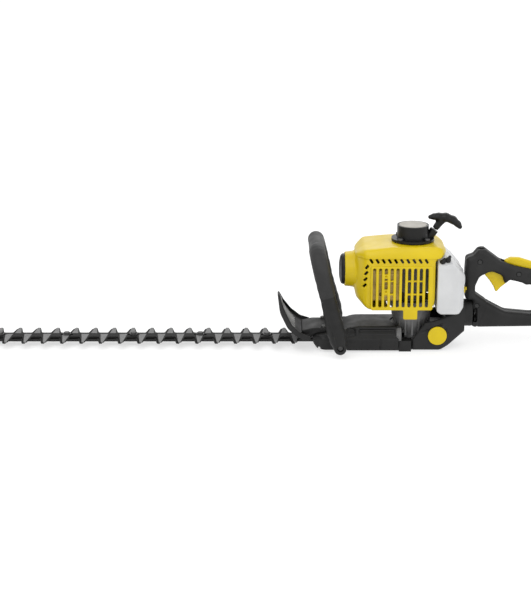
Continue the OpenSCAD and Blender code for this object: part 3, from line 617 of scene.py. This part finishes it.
def cover_vents(c, body, high, rear):
    """Cuts the slanted vents above the grille and in front of it."""
    half = high.y
    for i in range(TOP_VENT_COUNT):
        vent = slanted(c, rear - 124 + i * TOP_VENT_PITCH, high.z - 25.5, 32, 1.9, 4.6)
        body = cut(body, slab(vent, c.y, -half - 5, -half + 8), 0.9)
    for i in range(SIDE_VENT_COUNT):
        vent = slanted(c, rear - 131.5 - i * 1.2, high.z - 37 - i * SIDE_VENT_PITCH, -35, 1.8, 4.2)
        body = cut(body, slab(vent, c.y, -half - 5, -half + 22), 0.9)
    return body


def engine_cover():
    """The yellow cover: a thin shell with grille, vents, tab and filter opening."""
    low, high = corners("engine_cover")
    half, rear, port_z = high.y, low.x + COVER_LENGTH, high.z - 54.5
    c = Cells((low.x - 4, low.y - 4, low.z - 4), (rear + 18, high.y + 4, high.z + 4), 1.3)
    form = cover_form(c, low, high, rear)
    body = cover_outside(c, form, low, high, rear, port_z)
    body = cut(body, cover_hollow(c, form, low, high, rear, port_z), 0.6)
    tab_outline = rect(rear - 66, rear - 40, low.z, low.z + 20, 3)
    tab = slab(side_view(c, tab_outline), c.y, -half - 0.2, -half + 2.6, 0.8)
    body = join(body, tab, 0.5)
    body = cut(body, rod(c, "z", 0, 0, high.z - 10, high.z + 9, 26))
    body = cover_grille(c, body, low, half, rear)
    body = cover_vents(c, body, high, rear)
    window = block(c, (rear - 146, half - 7, low.z + 45), (rear - 72, half + 9, low.z + 113), 4)
    notch = block(c, (rear - 154, half - 12, low.z + 85), (rear - 124, half + 9, low.z + 125), 3)
    body = cut(body, join(window, notch), 0.8)
    dress(moulded("engine_cover_shell", body, c, 0.7), "yellow_plastic", "root", "engine_cover")


# ---- rear handle
# The swivel's axis over the handle's lowest point, and the handle screws from its lower front corner.
SWIVEL_UP = 25
HANDLE_SCREWS = [(25, 124), (22, 42), (96, 101), (204, 30), (202, 74)]


def grip_fields(c, low):
    """The closed D of the rear handle, and its finger loop with ridges along the grip."""
    outer = from_corner(low.x, low.z, [
        (15, 0, 6), (122, 1.5, 40), (196, 9.5, 18), (216, 28, 16), (218, 68, 16), (204, 85, 12),
        (117, 110, 30), (88, 116, 16), (62, 125.5, 12), (35, 146, 6), (23, 146, 5), (14, 135, 5),
        (1, 130.5, 7), (0, 106, 10), (2, 51, 5), (15, 51, 3)])
    inner = from_corner(low.x, low.z, [
        (19, 64, 8), (46, 45, 24), (74, 30, 24), (121, 25.5, 40), (188, 33, 12), (193, 52, 10), (180, 62, 8),
        (144, 71, 14), (108, 82, 14), (95, 86, 8), (81, 89, 2.5), (72, 81, 2.5), (67, 97, 10), (47, 106, 16),
        (26, 95, 12), (19, 78, 8)])
    loop = side_view(c, inner)
    along, ridge_pitch, ridge_depth = c.x - (low.x + 100), 19, 1.3
    waves = ridge_depth * np.cos(along * 2 * math.pi / ridge_pitch)
    ridges = waves * np.clip(along / 10, 0, 1) * np.clip((c.z - low.z - 48) / 12, 0, 1)
    return side_view(c, outer), loop - ridges


def handle_body(c, low, half):
    """The handle's outer shape with its collar, rib line and hollow."""
    outer, loop = grip_fields(c, low)
    body = slab(both(outer, -loop), c.y, -half, half, 8.5)
    collar = rod(c, "x", 0, low.z + SWIVEL_UP, low.x + 15, low.x + 23, 24.5, 2)
    body = join(body, collar, 4)
    rib = np.abs(c.x - (low.x + 24 + (c.z - low.z) * 0.35)) - 1.2
    body = cut(body, both(both(rib, -(body + 1.0)), c.z - (low.z + 62)), 0.8)
    body = cut(body, both(body + 3.0, -(c.x - low.x - 18)))
    return cut(body, rod(c, "x", 0, low.z + SWIVEL_UP, low.x, low.x + 60, 12.4))


def rear_handle():
    """Two half shells with openings for trigger, lock-off lever and stop button."""
    low, high = corners("left_handle_shell")
    half, slot_half = -low.y, 7.2
    c = Cells((low.x - 3, -half - 3, low.z - 3), (high.x + 3, half + 3, high.z + 4), 1.4)
    body = handle_body(c, low, half)
    trigger_slot = block(c, (low.x + 28, -slot_half, low.z + 58), (low.x + 90, slot_half, low.z + 109))
    lever_outline = from_corner(low.x, low.z, [
        (60, 140, 0), (71, 107, 2), (147, 77, 3), (166, 77, 3), (166, 120, 0)])
    lever_slot = slab(side_view(c, lever_outline), c.y, -slot_half, slot_half)
    body = cut(body, join(trigger_slot, lever_slot), 0.6)
    body = cut(body, rod(c, "z", low.x + 29, 0, low.z + 130, high.z + 9, 5.6))
    for x, z in HANDLE_SCREWS:
        body = cut(body, rod(c, "y", low.x + x, low.z + z, -half - 2, 2 - half, 4.4), 0.8)
    seam = 0.12
    left = both(body, c.y + seam)
    right = both(body, seam - c.y)
    dress(moulded("rear_handle_left", left, c, 0.6), "black_plastic", "rear_grip", "left_handle_shell")
    dress(moulded("rear_handle_right", right, c, 0.6), "black_plastic", "rear_grip", "right_handle_shell")


def trigger():
    """A curved throttle trigger with four finger grooves."""
    low, high = corners("trigger")
    c = cells_round(low, high, 2, 0.7)
    outline = from_corner(low.x, low.z, [
        (22, 0, 2.4), (30.5, 10, 6), (42.5, 20, 3), (41, 35, 4), (15, 55, 4), (5, 55, 4), (0.4, 34, 3),
        (11, 21, 14), (18, 10, 12)])
    body = slab(side_view(c, outline), c.y, low.y, high.y, 2.6)
    for k in range(4):
        groove = np.abs(c.z - (low.z + 12 + 5.5 * k)) - 0.7
        front = both(groove, c.x - (low.x + 20))
        body = cut(body, both(front, -(body + 0.7)), 0.6)
    body = cut(body, rod(c, "y", low.x + 10, low.z + 50, low.y - 1, high.y + 1, 2.1))
    dress(moulded("throttle_trigger", body, c, 0.8), "yellow_plastic", "throttle", "trigger")


def lockoff_lever():
    """The long paddle on the handle's back."""
    low, high = corners("lockoff_lever")
    c = cells_round(low, high, 2, 0.9)
    outline = from_corner(low.x, low.z, [
        (0, 41, 2), (6, 36, 2), (50, 23, 4), (76, 13, 3), (80, 0.5, 5), (92, 0.5, 5), (94, 20, 4),
        (50, 40, 20), (28, 47, 16), (12, 47.5, 5)])
    body = slab(side_view(c, outline), c.y, low.y, high.y, 3.4)
    body = cut(body, rod(c, "y", low.x + 86, low.z + 6, low.y - 1, high.y + 1, 2.1))
    dress(moulded("lockoff_paddle", body, c, 0.8), "yellow_plastic", "lockoff", "lockoff_lever")


# ---- front handle
# Where the loop's feet are screwed on, its tube's radius, its lean and its top bends' radius.
LOOP_FOOT = (-132.0, 20.0)
LOOP_TUBE = 14.5
LOOP_LEAN = math.radians(13.6)
LOOP_BEND = 40
# The tube's radius at some heights above the floor.
LOOP_HEIGHTS, LOOP_RADII = (16, 25, 36, 50, 110), (10.5, 13.4, 15.6, 16.4, 13.4)


def loop_path():
    """The loop handle's centre line, from the near foot to the far foot."""
    high = corners("front_handle")[1]
    start, bend = LOOP_FOOT[1] - 4, LOOP_BEND
    half, length = high.y - 17, (high.z - LOOP_TUBE - start) / math.cos(LOOP_LEAN)
    leg = [(-half, s) for s in np.linspace(0, length - bend, 9)]
    turns = np.linspace(0.15, math.pi / 2, 8)
    arc = [(-half + bend - bend * math.cos(a), length - bend + bend * math.sin(a)) for a in turns]
    near = leg + arc
    flat = near + [(-y, s) for y, s in reversed(near)]
    return [(LOOP_FOOT[0] - s * math.sin(LOOP_LEAN), y, start + s * math.cos(LOOP_LEAN)) for y, s in flat]


def loop_foot(c, body, side, reach):
    """Adds one foot's arm and boss, and cuts its screw pocket and the long groove above it."""
    x, z = LOOP_FOOT
    arm = side_rod(c, side, x, z, 52.5, reach, 9.3, 1.0)
    boss = side_rod(c, side, x, z, 70, reach + 12, 10.9, 3.0)
    body = join(body, join(arm, boss, 3), 4)
    body = cut(body, side_rod(c, side, x, z, reach + 4, 120, 5.4), 1.0)
    groove = both(np.abs(c.x - (x - 8 - (c.z - z) * 0.27)) - 1.7, np.abs(c.z - 66) - 40)
    return cut(body, both(groove, (reach + 12.6) - side * c.y), 1.2)


def front_handle():
    """The loop's black frame, and the soft sleeve over its upper part."""
    low, high = corners("front_handle")
    c = Cells((low.x - 3, low.y - 3, 0), (high.x + 3, high.y + 3, high.z + 3), 1.5)
    path = loop_path()
    tube = [(x, y, z, float(np.interp(z, LOOP_HEIGHTS, LOOP_RADII))) for x, y, z in path]
    body = chain(c, tube, soft=2.0)
    for side in (-1, 1):
        body = loop_foot(c, body, side, high.y - 17)
    dress(moulded("front_loop_frame", body, c, 0.6), "black_plastic", "root", "front_handle")
    sleeve_path = [(x, y, z, LOOP_TUBE - 0.2) for x, y, z in path if z > high.z * 0.54]
    first = sleeve_path[0]
    sleeve = chain(c, sleeve_path, soft=2.0)
    sleeve = both(sleeve, (first[2] - 2) - (c.z - (c.x - first[0]) * 0.2))
    sleeve = cut(sleeve, chain(c, [(x, y, z, 11.8) for x, y, z, _ in sleeve_path]))
    dress(moulded("front_loop_sleeve", sleeve, c, 0.6), "black_grip", "root")


# ---- hand guard and front housing
WEB_PITCH = 11


def guard_webs(c, dish):
    """The field of slanted webs standing in the scoop's dish."""
    lean = c.y + 0.35 * (c.z - 40)
    web = both(np.abs((lean + 200) % WEB_PITCH - 5.5) - 2.1, -outline_field(c.x - 1.7, c.z - 1.2, dish))
    web = both(both(web, np.abs(c.y) - 34), both(42 - c.z, c.z - 90))
    return both(web, outline_field(c.x + 1, c.z + 1, dish))


def hand_guard():
    """A dished scoop with fine webs inside, on a tongue screwed to the housing."""
    low, high = corners("hand_guard")
    c = cells_round(low, high, 3, 1.0)
    front = mirrored([(high.y, 19, 2), (high.y, 47, 24), (43, 68, 40), (11, high.z, 7)], 0)
    rim = [(-184, 23, 1), (-194, 24.5, 8), (-209, 31.5, 20), (-226, 47, 30), (-240, 71, 30), (-244, 98, 1),
           (-241, 99, 1), (-232, 76, 30), (-218.5, 53, 30), (-202, 38.5, 20), (-184, 33, 1)]
    dish = [(-180, 27, 0), (-192, 28, 6), (-206, 34.5, 20), (-223, 50, 30), (-236.5, 73, 30),
            (-240, 106, 0), (-180, 106, 0)]
    tongue = [(-145, 35.3, 0), (-145, 40.9, 2), (-180, 40.9, 20), (-201, 36, 3), (-200, 33, 1),
              (-186, 26, 4), (-175, 30.2, 4)]
    shape = outline_field(c.y, c.z, front)
    body = both(side_view(c, rim), shape, 2.0)
    pocket = both(side_view(c, dish), shape + 3.0, 1.0)
    body = cut(body, pocket, 0.6)
    body = join(body, slab(side_view(c, tongue), c.y, -33.9, 33.9, 1.2), 2.0)
    for side in (-1, 1):
        body = cut(body, rod(c, "z", -160, side * 28, 20, 60, 2.6), 0.3)
    dress(moulded("hand_guard_scoop", body, c, 0.7), "black_plastic", "root", "hand_guard")
    web = both(guard_webs(c, dish), shape + 2.0)
    webs = dress(moulded("hand_guard_webs", web, c, 0.7), "black_plastic", "root")
    # The webs' pale grey is painted highlight, standing in for light caught on their edges.
    webs.data.materials[0] = webs_painted_highlight()


def housing_form(c, low, high):
    """The housing's outer shape, with a bevel along each upper edge."""
    w = high.y
    section = mirrored([(w, low.z, 5), (w, low.z + 21.5, 2), (w - 4.8, low.z + 25, 2),
                        (w - 5.6, low.z + 29, 3), (w - 12, high.z - 1, 4)], 0)
    side = from_corner(low.x, low.z, [
        (10, 0, 6), (157, 0, 2), (157, 44, 4), (83, 43.5, 20), (41, 33, 20), (7, 27, 8), (0, 21, 6),
        (0, 11, 6)])
    plan = mirrored([(low.x, -34, 16), (low.x + 21, -w, 16), (high.x, -w, 2)], 1)
    form = both(outline_field(c.y, c.z, section), side_view(c, side), 3)
    return both(form, outline_field(c.x, c.y, plan), 4)


def housing_marks(c, body, form, low, high):
    """Cuts the two shallow pockets and the seam into each side."""
    w = high.y
    pockets = (rect(low.x + 62, low.x + 78, low.z + 26, low.z + 39, 4),
               rect(low.x + 84, low.x + 150, low.z + 27, low.z + 38, 3))
    shallow = -(form + 1.8)
    for side in (-1, 1):
        for outline in pockets:
            pocket = slab(side_view(c, outline), side * c.y, w - 14, w + 3)
            body = cut(body, both(pocket, shallow), 0.8)
        seam = both(np.abs(c.x - (high.x - 34)) - 1.1, -(form + 1.1))
        body = cut(body, both(seam, c.z - (low.z + 22)), 0.8)
    return body


def front_housing():
    """The black shell round the gearcase, open behind, below and at the blades."""
    low, high = corners("front_housing")
    c = cells_round(low, high, 3, 1.3)
    w, wall = high.y, 3.2
    form = housing_form(c, low, high)
    body = housing_marks(c, form, form, low, high)
    body = cut(body, form + wall)
    body = cut(body, block(c, (high.x - 5, 4 - w, 0), (high.x + 5, w - 4, low.z + 41)))
    body = cut(body, rod(c, "z", 0, 0, 20, 72, 37.6))
    body = cut(body, block(c, (low.x + 11, 3 - w, -5), (high.x + 5, w - 3, low.z + 5)))
    body = cut(body, block(c, (low.x - 9, -17.5, low.z + 5), (low.x + 25, 17.5, low.z + 23)), 0.8)
    dress(moulded("front_housing_shell", body, c, 0.6), "black_plastic", "root", "front_housing")


# ---- rear arm
# The height of the axis that the rear handle swivels on, and the middle of the damper caps.
SWIVEL_Z = 61
DAMPER_X, DAMPER_Z = 45, 29.7


def arm_form(c, low, high):
    """The arm's outer shape, with a round neck and ring where the handle swivels."""
    w = high.y
    side = from_corner(high.x, low.z, [
        (-112, 0, 4), (-60, 0, 16), (-44, 8, 10), (-8, 35, 6), (0, 35, 1), (0, 85, 1), (-14, 85, 5),
        (-37, 68, 8), (-72, 56, 12), (-89, 53, 6), (-112, 19, 5)])
    plan = mirrored([(low.x - 2, -w, 0), (low.x + 57, -w, 14), (high.x - 16, -26, 14), (high.x, -25, 0)], 1)
    form = both(side_view(c, side), outline_field(c.x, c.y, plan), 7)
    neck = rod(c, "x", 0, SWIVEL_Z, high.x - 15, high.x + 5, 25, 0)
    form = np.where(c.x > high.x - 14, both(form, neck, 3), form)
    body = join(form, rod(c, "x", 0, SWIVEL_Z, high.x - 6, high.x, 25, 1.5), 1.5)
    return both(body, c.x - high.x)


def rear_arm():
    """The hollow arm to the handle's swivel, with a raised ring round each damper cap."""
    low, high = corners("rear_arm")
    c = cells_round(low, high, 3, 1.3)
    w = high.y
    body = arm_form(c, low, high)
    for side in (-1, 1):
        body = join(body, side_rod(c, side, DAMPER_X, DAMPER_Z, 30, w + 1.6, 20, 1.6), 3)
        body = cut(body, side_rod(c, side, DAMPER_X, DAMPER_Z, w - 0.2, 60, 17.4))
        line = np.abs(c.z - (low.z + 46 + (c.x - DAMPER_X) * 0.42)) - 1.1
        line = both(line, (w - 1.6) - side * c.y)
        body = cut(body, both(line, np.abs(c.x - 50) - 34), 1.0)
    body = cut(body, block(c, (low.x - 9, -w + 5, -6), (58, w - 5, 95), 2), 1)
    body = cut(body, rod(c, "x", 0, SWIVEL_Z, 78, high.x + 3, 12.2))
    body = both(body, c.x - high.x)
    dress(moulded("rear_arm_casting", body, c, 0.6), "black_plastic", "root", "rear_arm")


# ---- fuel tank
TANK_HEIGHT = 107.2


def tank_form(c, low, high, top):
    """The tank's outer shape, with sloped shoulders and a hollow below for the rear arm."""
    w = high.y
    side = from_corner(low.x - 1.7, top, [
        (0, -102, 3), (7, -107.2, 4), (40, -107.2, 9), (49, -96, 9), (49, -59, 8), (51.6, -49, 8),
        (51.6, -38, 14), (21, -4.5, 18), (9, 0, 5), (0, -6, 3)])
    plan = mirrored([(low.x - 9, -w, 0), (low.x + 38, -w, 14), (high.x, -w + 12, 14)], 1)
    shoulder = mirrored([(w, low.z - 9, 0), (w, top - 18, 9), (w - 23, top + 0.5, 12)], 0)
    form = both(side_view(c, side), outline_field(c.x, c.y, plan), 3)
    form = both(form, outline_field(c.y, c.z, shoulder), 3)
    arm = [(-9, 40, 0), (74, 71.5, 2), (99, 89, 2), (120, 40, 0)]
    return cut(form, slab(side_view(c, arm), c.y, -46, 46), 1.5)


def fuel_tank():
    """The milky tank: a thin shell with a moulding ridge and a filler neck on the far side."""
    low, high = corners("fuel_tank")
    top, w, wall = low.z + TANK_HEIGHT, high.y, 2.6
    c = Cells((low.x - 3, low.y - 3, low.z - 3), (high.x + 3, high.y + 3, top + 3), 1.5)
    form = tank_form(c, low, high, top)
    ridge = both(np.abs(c.y + 6) - 1.3, form - 1.1)
    body = join(form, ridge, 1.2)
    cap_low, cap_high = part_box("fuel_cap")
    cap_x, cap_z = (cap_low + cap_high)[0] / 2 / MM, (cap_low + cap_high)[2] / 2 / MM
    body = join(body, rod(c, "y", cap_x, cap_z, w - 8, w, 19, 1), 3)
    body = cut(body, form + wall)
    body = cut(body, rod(c, "y", cap_x, cap_z, w - 9, w + 5, 12.8))
    body = both(body, np.abs(c.y) - w)
    dress(moulded("fuel_tank_shell", body, c, 0.6), "tank_plastic", "root", "fuel_tank")


def fitting(c, x, z, foot, head):
    """One rubber grommet with a stub elbow, from foot in the tank to head outside it."""
    base = chain(c, [(x, foot, z - 2, 5.2), (x, head + 4, z, 4.6)], soft=1)
    bend = [(x, head + 4, z, 3.6), (x, head, z + 1.5, 3.2), (x + 2.5, head + 1, z + 6, 2.8)]
    elbow = chain(c, bend, soft=1)
    ring = rod(c, "y", x, z - 0.6, head + 3.4, head + 5.6, 5.4, 0.9)
    return join(join(base, elbow, 1), ring, 0.5)


def tank_fittings():
    """The two fittings on the tank's near shoulder."""
    low, high = corners("tank_grommets")
    c = Cells((low.x - 4, low.y - 2, low.z - 6), (high.x + 4, low.y + 22, high.z + 9), 0.6)
    foot, head = low.y + 16, low.y + 7.5
    lower = fitting(c, low.x + 6, low.z + 9, foot, head)
    upper = fitting(c, high.x - 4.5, high.z - 0.5, foot, head)
    body = join(lower, upper, 0.5)
    dress(moulded("tank_fittings", body, c, 0.8), "rubber_black", "root", "tank_grommets")


# ---- starter handle and rope
# Where the rope leaves the starter, the direction in which it is pulled, and its radius.
ROPE_OUTLET = np.array([38.0, 0.0, 215.6])
PULL_LEAN = math.radians(34.8)
PULL = np.array([math.sin(PULL_LEAN), 0, math.cos(PULL_LEAN)])
ROPE_RADIUS = 1.7


def starter_handle():
    """A bowed grip over a flared stem, with a hole for the rope."""
    low, high = corners("starter_handle")
    c = Cells((low.x - 4, low.y - 2, low.z - 4), (high.x + 4, high.y + 2, high.z + 4), 0.8)
    run = [(low.x + 5, 0, high.z - 8, 3.9), (low.x + 12, 0, high.z - 7.2, 5.4),
           (low.x + 20, 0, high.z - 7, 6.4), (low.x + 33, 0, high.z - 8.4, 7.6),
           (low.x + 46, 0, high.z - 13.5, 7.2), (low.x + 55, 0, high.z - 21, 5.6),
           (high.x - 4, 0, high.z - 26, 4.2)]
    body = chain(c, run, squash=(1, 1.28, 1), soft=3)
    stem = [tuple(ROPE_OUTLET + PULL * s) + (r,) for s, r in ((3.5, 5.4), (9, 5.8), (20, 7.4))]
    body = join(body, chain(c, stem, soft=2), 5)
    dx, dz = c.x - ROPE_OUTLET[0], c.z - ROPE_OUTLET[2]
    along = dx * PULL[0] + dz * PULL[2]
    body = both(body, 3.2 - along)
    off = np.sqrt((dx - along * PULL[0]) ** 2 + c.y ** 2 + (dz - along * PULL[2]) ** 2)
    body = cut(body, both(off - (ROPE_RADIUS + 0.15), along - 17.2))
    body = both(body, both(np.abs(c.y) - high.y, c.z - high.z + 0.15))
    dress(moulded("starter_grip", body, c, 0.8), "black_gloss", "pull_grip", "starter_handle")


def rope_end():
    """The rope from outlet to grip, in short rings."""
    across, up = np.array([0, 1, 0]), np.array([PULL[2], 0, -PULL[0]])
    sides, verts, faces = 12, [], []
    stations = np.concatenate([np.linspace(-8, -1, 5), np.linspace(0, 17, 12)])
    for s in stations:
        for k in range(sides):
            a = 2 * math.pi * k / sides
            verts.append(ROPE_OUTLET + PULL * s + ROPE_RADIUS * (math.cos(a) * up + math.sin(a) * across))
    for i in range(len(stations) - 1):
        for k in range(sides):
            n = (k + 1) % sides
            faces.append((i * sides + k, i * sides + n, (i + 1) * sides + n, (i + 1) * sides + k))
    rope = mesh_object("starter_rope_run", verts, faces)
    rope.data.materials.append(MATERIALS["rope_cord"])
    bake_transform(rope)
    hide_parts("starter_rope_end")


# ---- blades
TOOTH_COUNT, TOOTH_NECK, TOOTH_ROOT, TOOTH_TIP = 16, 13.0, 9, 3
# How far the ground slope runs in from the edge, and the edge's thickness under it.
GRIND, EDGE_LEFT = 0.8, 0.6
# The blade bolts' spacing, and the radius and half the straight length of their slots.
BOLT_COUNT, BOLT_PITCH, SLOT_RADIUS, SLOT_HALF = 5, 122.5, 3.4, 8.5


def moved_in(points, t):
    """The outline's corner points moved inwards by t, with their radii reduced to match."""
    out = []
    for i, p in enumerate(points):
        a, b = np.array(points[i - 1][:2]), np.array(p[:2], float)
        n = np.array(points[(i + 1) % len(points)][:2])
        d1, d2 = unit(b - a), unit(n - b)
        n1, n2 = np.array([-d1[1], d1[0]]), np.array([-d2[1], d2[0]])
        q = b + (n1 + n2) * t / (1 + n1 @ n2)
        turn = d1[0] * d2[1] - d1[1] * d2[0]
        out.append((q[0], q[1], max(p[2] - t, 0.2) if turn > 0 else p[2] + t))
    return out


def tooth(x, side, reach):
    """The outline points of one tooth, from its rear root round its tip."""
    return [(x - TOOTH_ROOT, side * TOOTH_NECK, 4), (x - TOOTH_TIP, side * reach, 1.5),
            (x + TOOTH_TIP, side * reach, 1.5), (x + TOOTH_ROOT, side * TOOTH_NECK, 4)]


def blade_outline(low, high):
    """A blade seen from above, with the far teeth set back."""
    first, points = high.x - TOOTH_START, []
    for i in range(TOOTH_COUNT - 1, -1, -1):
        points += tooth(first - i * TOOTH_PITCH, -1, high.y)
    points += [(high.x, -TOOTH_NECK, 4), (high.x, TOOTH_NECK, 4)]
    for i in range(TOOTH_COUNT):
        points += tooth(first - TOOTH_OFFSET - i * TOOTH_PITCH, 1, high.y)[::-1]
    return points + [(low.x + 10, TOOTH_NECK, 6), (low.x, 6, 5), (low.x, -6, 5)]


def bolt_slots():
    """The long slots along a blade's middle, each as a loop of points."""
    rear_bolt, slots = corners("blade_bolts")[1].x - 7, []
    quarter = math.pi / 2
    turns = [(1, a) for a in np.linspace(-quarter + 0.01, quarter - 0.01, 9)]
    turns += [(-1, a) for a in np.linspace(quarter + 0.01, 1.5 * math.pi - 0.01, 9)]
    for i in range(BOLT_COUNT):
        x = rear_bolt - i * BOLT_PITCH
        slots.append([(x + end * SLOT_HALF + SLOT_RADIUS * math.cos(a), SLOT_RADIUS * math.sin(a))
                      for end, a in turns])
    return slots


def ring(bm, loop, z):
    return [bm.verts.new((p[0] * MM, p[1] * MM, z * MM)) for p in loop]


def side_faces(bm, a, b):
    for i in range(len(a)):
        bm.faces.new((a[i], a[(i + 1) % len(a)], b[(i + 1) % len(b)], b[i]))


def lid(bm, loops):
    """Fills the space between an outer loop and the holes in it."""
    edges = [bm.edges.get((loop[i], loop[(i + 1) % len(loop)])) for loop in loops for i in range(len(loop))]
    bmesh.ops.triangle_fill(bm, edges=edges, use_beauty=True)


def blade(name, node, body, ground_up):
    """A blade whose edges are ground to a slope on one face."""
    low, high = corners(node)
    points = blade_outline(low, high)
    wide, narrow = rounded(points, 3), rounded(moved_in(points, GRIND), 3)
    levels = [(narrow, low.z), (wide, high.z - EDGE_LEFT), (wide, high.z)]
    if ground_up:
        levels = [(wide, low.z), (wide, low.z + EDGE_LEFT), (narrow, high.z)]
    bm = bmesh.new()
    outer = [ring(bm, loop, z) for loop, z in levels]
    for a, b in zip(outer[:-1], outer[1:]):
        side_faces(bm, a, b)
    holes = [(ring(bm, slot, low.z), ring(bm, slot, high.z)) for slot in bolt_slots()]
    for bottom, top in holes:
        side_faces(bm, top, bottom)
    for which in (0, -1):
        lid(bm, [outer[which]] + [hole[which] for hole in holes])
    bmesh.ops.recalc_face_normals(bm, faces=bm.faces)
    mesh = bpy.data.meshes.new(name)
    bm.to_mesh(mesh)
    bm.free()
    dress(add_object(name, mesh), "blade_steel", body, node)


# ---- CAD nodes that stay
def finish_cad_nodes():
    """Gives every CAD node its material and softened edges."""
    slots = {row["node"]: row["material_slot"] for row in frame["record"]["subparts"]}
    for node, obj in frame["nodes"].items():
        obj.data.materials.clear()
        obj.data.materials.append(MATERIALS[slots[node]])
        weld = obj.modifiers.new("weld", "WELD")
        weld.merge_threshold = 0.00002
        flat = obj.modifiers.new("flat", "DECIMATE")
        flat.decimate_type = "DISSOLVE"
        flat.angle_limit = math.radians(1.5)
        edge = obj.modifiers.new("edge", "BEVEL")
        edge.width = 0.0006
        edge.segments = 2
        edge.limit_method = "ANGLE"
        edge.angle_limit = math.radians(35)
        edge.harden_normals = True
        for p in obj.data.polygons:
            p.use_smooth = True
        obj.modifiers.new("normals", "WEIGHTED_NORMAL")


# ---- floor, light and camera
FLOOR_HALF, FLOOR_GLOW, WORLD_LIGHT = 8.0, 0.62, 1.06
WHITE = (1.0, 1.0, 1.0, 1.0)
# The point that the lamps look at, and each lamp's name, place, size in metres and power in watts.
MIDDLE = Vector((-0.15, 0.0, 0.10))
LAMPS = [("key", (-0.9, -1.3, 1.9), 2.2, 20.0), ("fill", (1.6, -1.6, 1.0), 2.0, 9.0),
         ("rim", (0.3, 1.8, 1.6), 1.8, 10.0)]
# The camera stands square to the blade and looks down by this angle.
CAMERA_PLACE, CAMERA_DOWN, CAMERA_LENS = (-0.2658, -2.8779, 0.9310), 16.4, 98.6


def floor_paint():
    """A pale matt white that glows a little, so that the ground stays white."""
    paint = bpy.data.materials.new("floor_paint")
    tree, shader, place = nodes_of(paint)
    tone = spread(tree, noise(tree, place, 3), (0.40, 0.42))
    tree.links.new(tone, shader.inputs["Base Color"])
    shader.inputs["Roughness"].default_value = 0.9
    shader.inputs["Specular IOR Level"].default_value = 0.0
    shader.inputs["Emission Color"].default_value = WHITE
    shader.inputs["Emission Strength"].default_value = FLOOR_GLOW
    return paint


def floor():
    corner_signs = ((-1, -1), (1, -1), (1, 1), (-1, 1))
    mesh = bpy.data.meshes.new("floor")
    mesh.from_pydata([(a * FLOOR_HALF, b * FLOOR_HALF, 0) for a, b in corner_signs], [], [(0, 1, 2, 3)])
    obj = add_object("floor", mesh)
    mesh.materials.append(floor_paint())


def lights(scene):
    """An even white world and three soft lamps."""
    world = bpy.data.worlds.new("studio")
    world.use_nodes = True
    background = world.node_tree.nodes["Background"]
    background.inputs["Color"].default_value = WHITE
    background.inputs["Strength"].default_value = WORLD_LIGHT
    scene.world = world
    for name, place, size, power in LAMPS:
        data = bpy.data.lights.new(name, "AREA")
        data.size, data.energy = size, power
        lamp = add_object(name, data)
        lamp.location = place
        lamp.rotation_euler = (MIDDLE - Vector(place)).to_track_quat("-Z", "Y").to_euler()


def camera(scene):
    data = bpy.data.cameras.new("camera")
    data.sensor_width, data.lens = 36.0, CAMERA_LENS
    obj = add_object("camera", data)
    obj.location = CAMERA_PLACE
    obj.rotation_euler = (math.radians(90 - CAMERA_DOWN), 0.0, 0.0)
    scene.camera = obj


def studio():
    scene = bpy.context.scene
    scene.view_settings.view_transform = "Standard"
    floor()
    lights(scene)
    camera(scene)


studio()
finish_cad_nodes()
engine_cover()
rear_handle()
trigger()
lockoff_lever()
front_handle()
hand_guard()
front_housing()
rear_arm()
fuel_tank()
tank_fittings()
starter_handle()
rope_end()
blade("blade_upper_ground", "upper_blade", "upper_blade_set", True)
blade("blade_lower_ground", "lower_blade", "lower_blade_set", False)
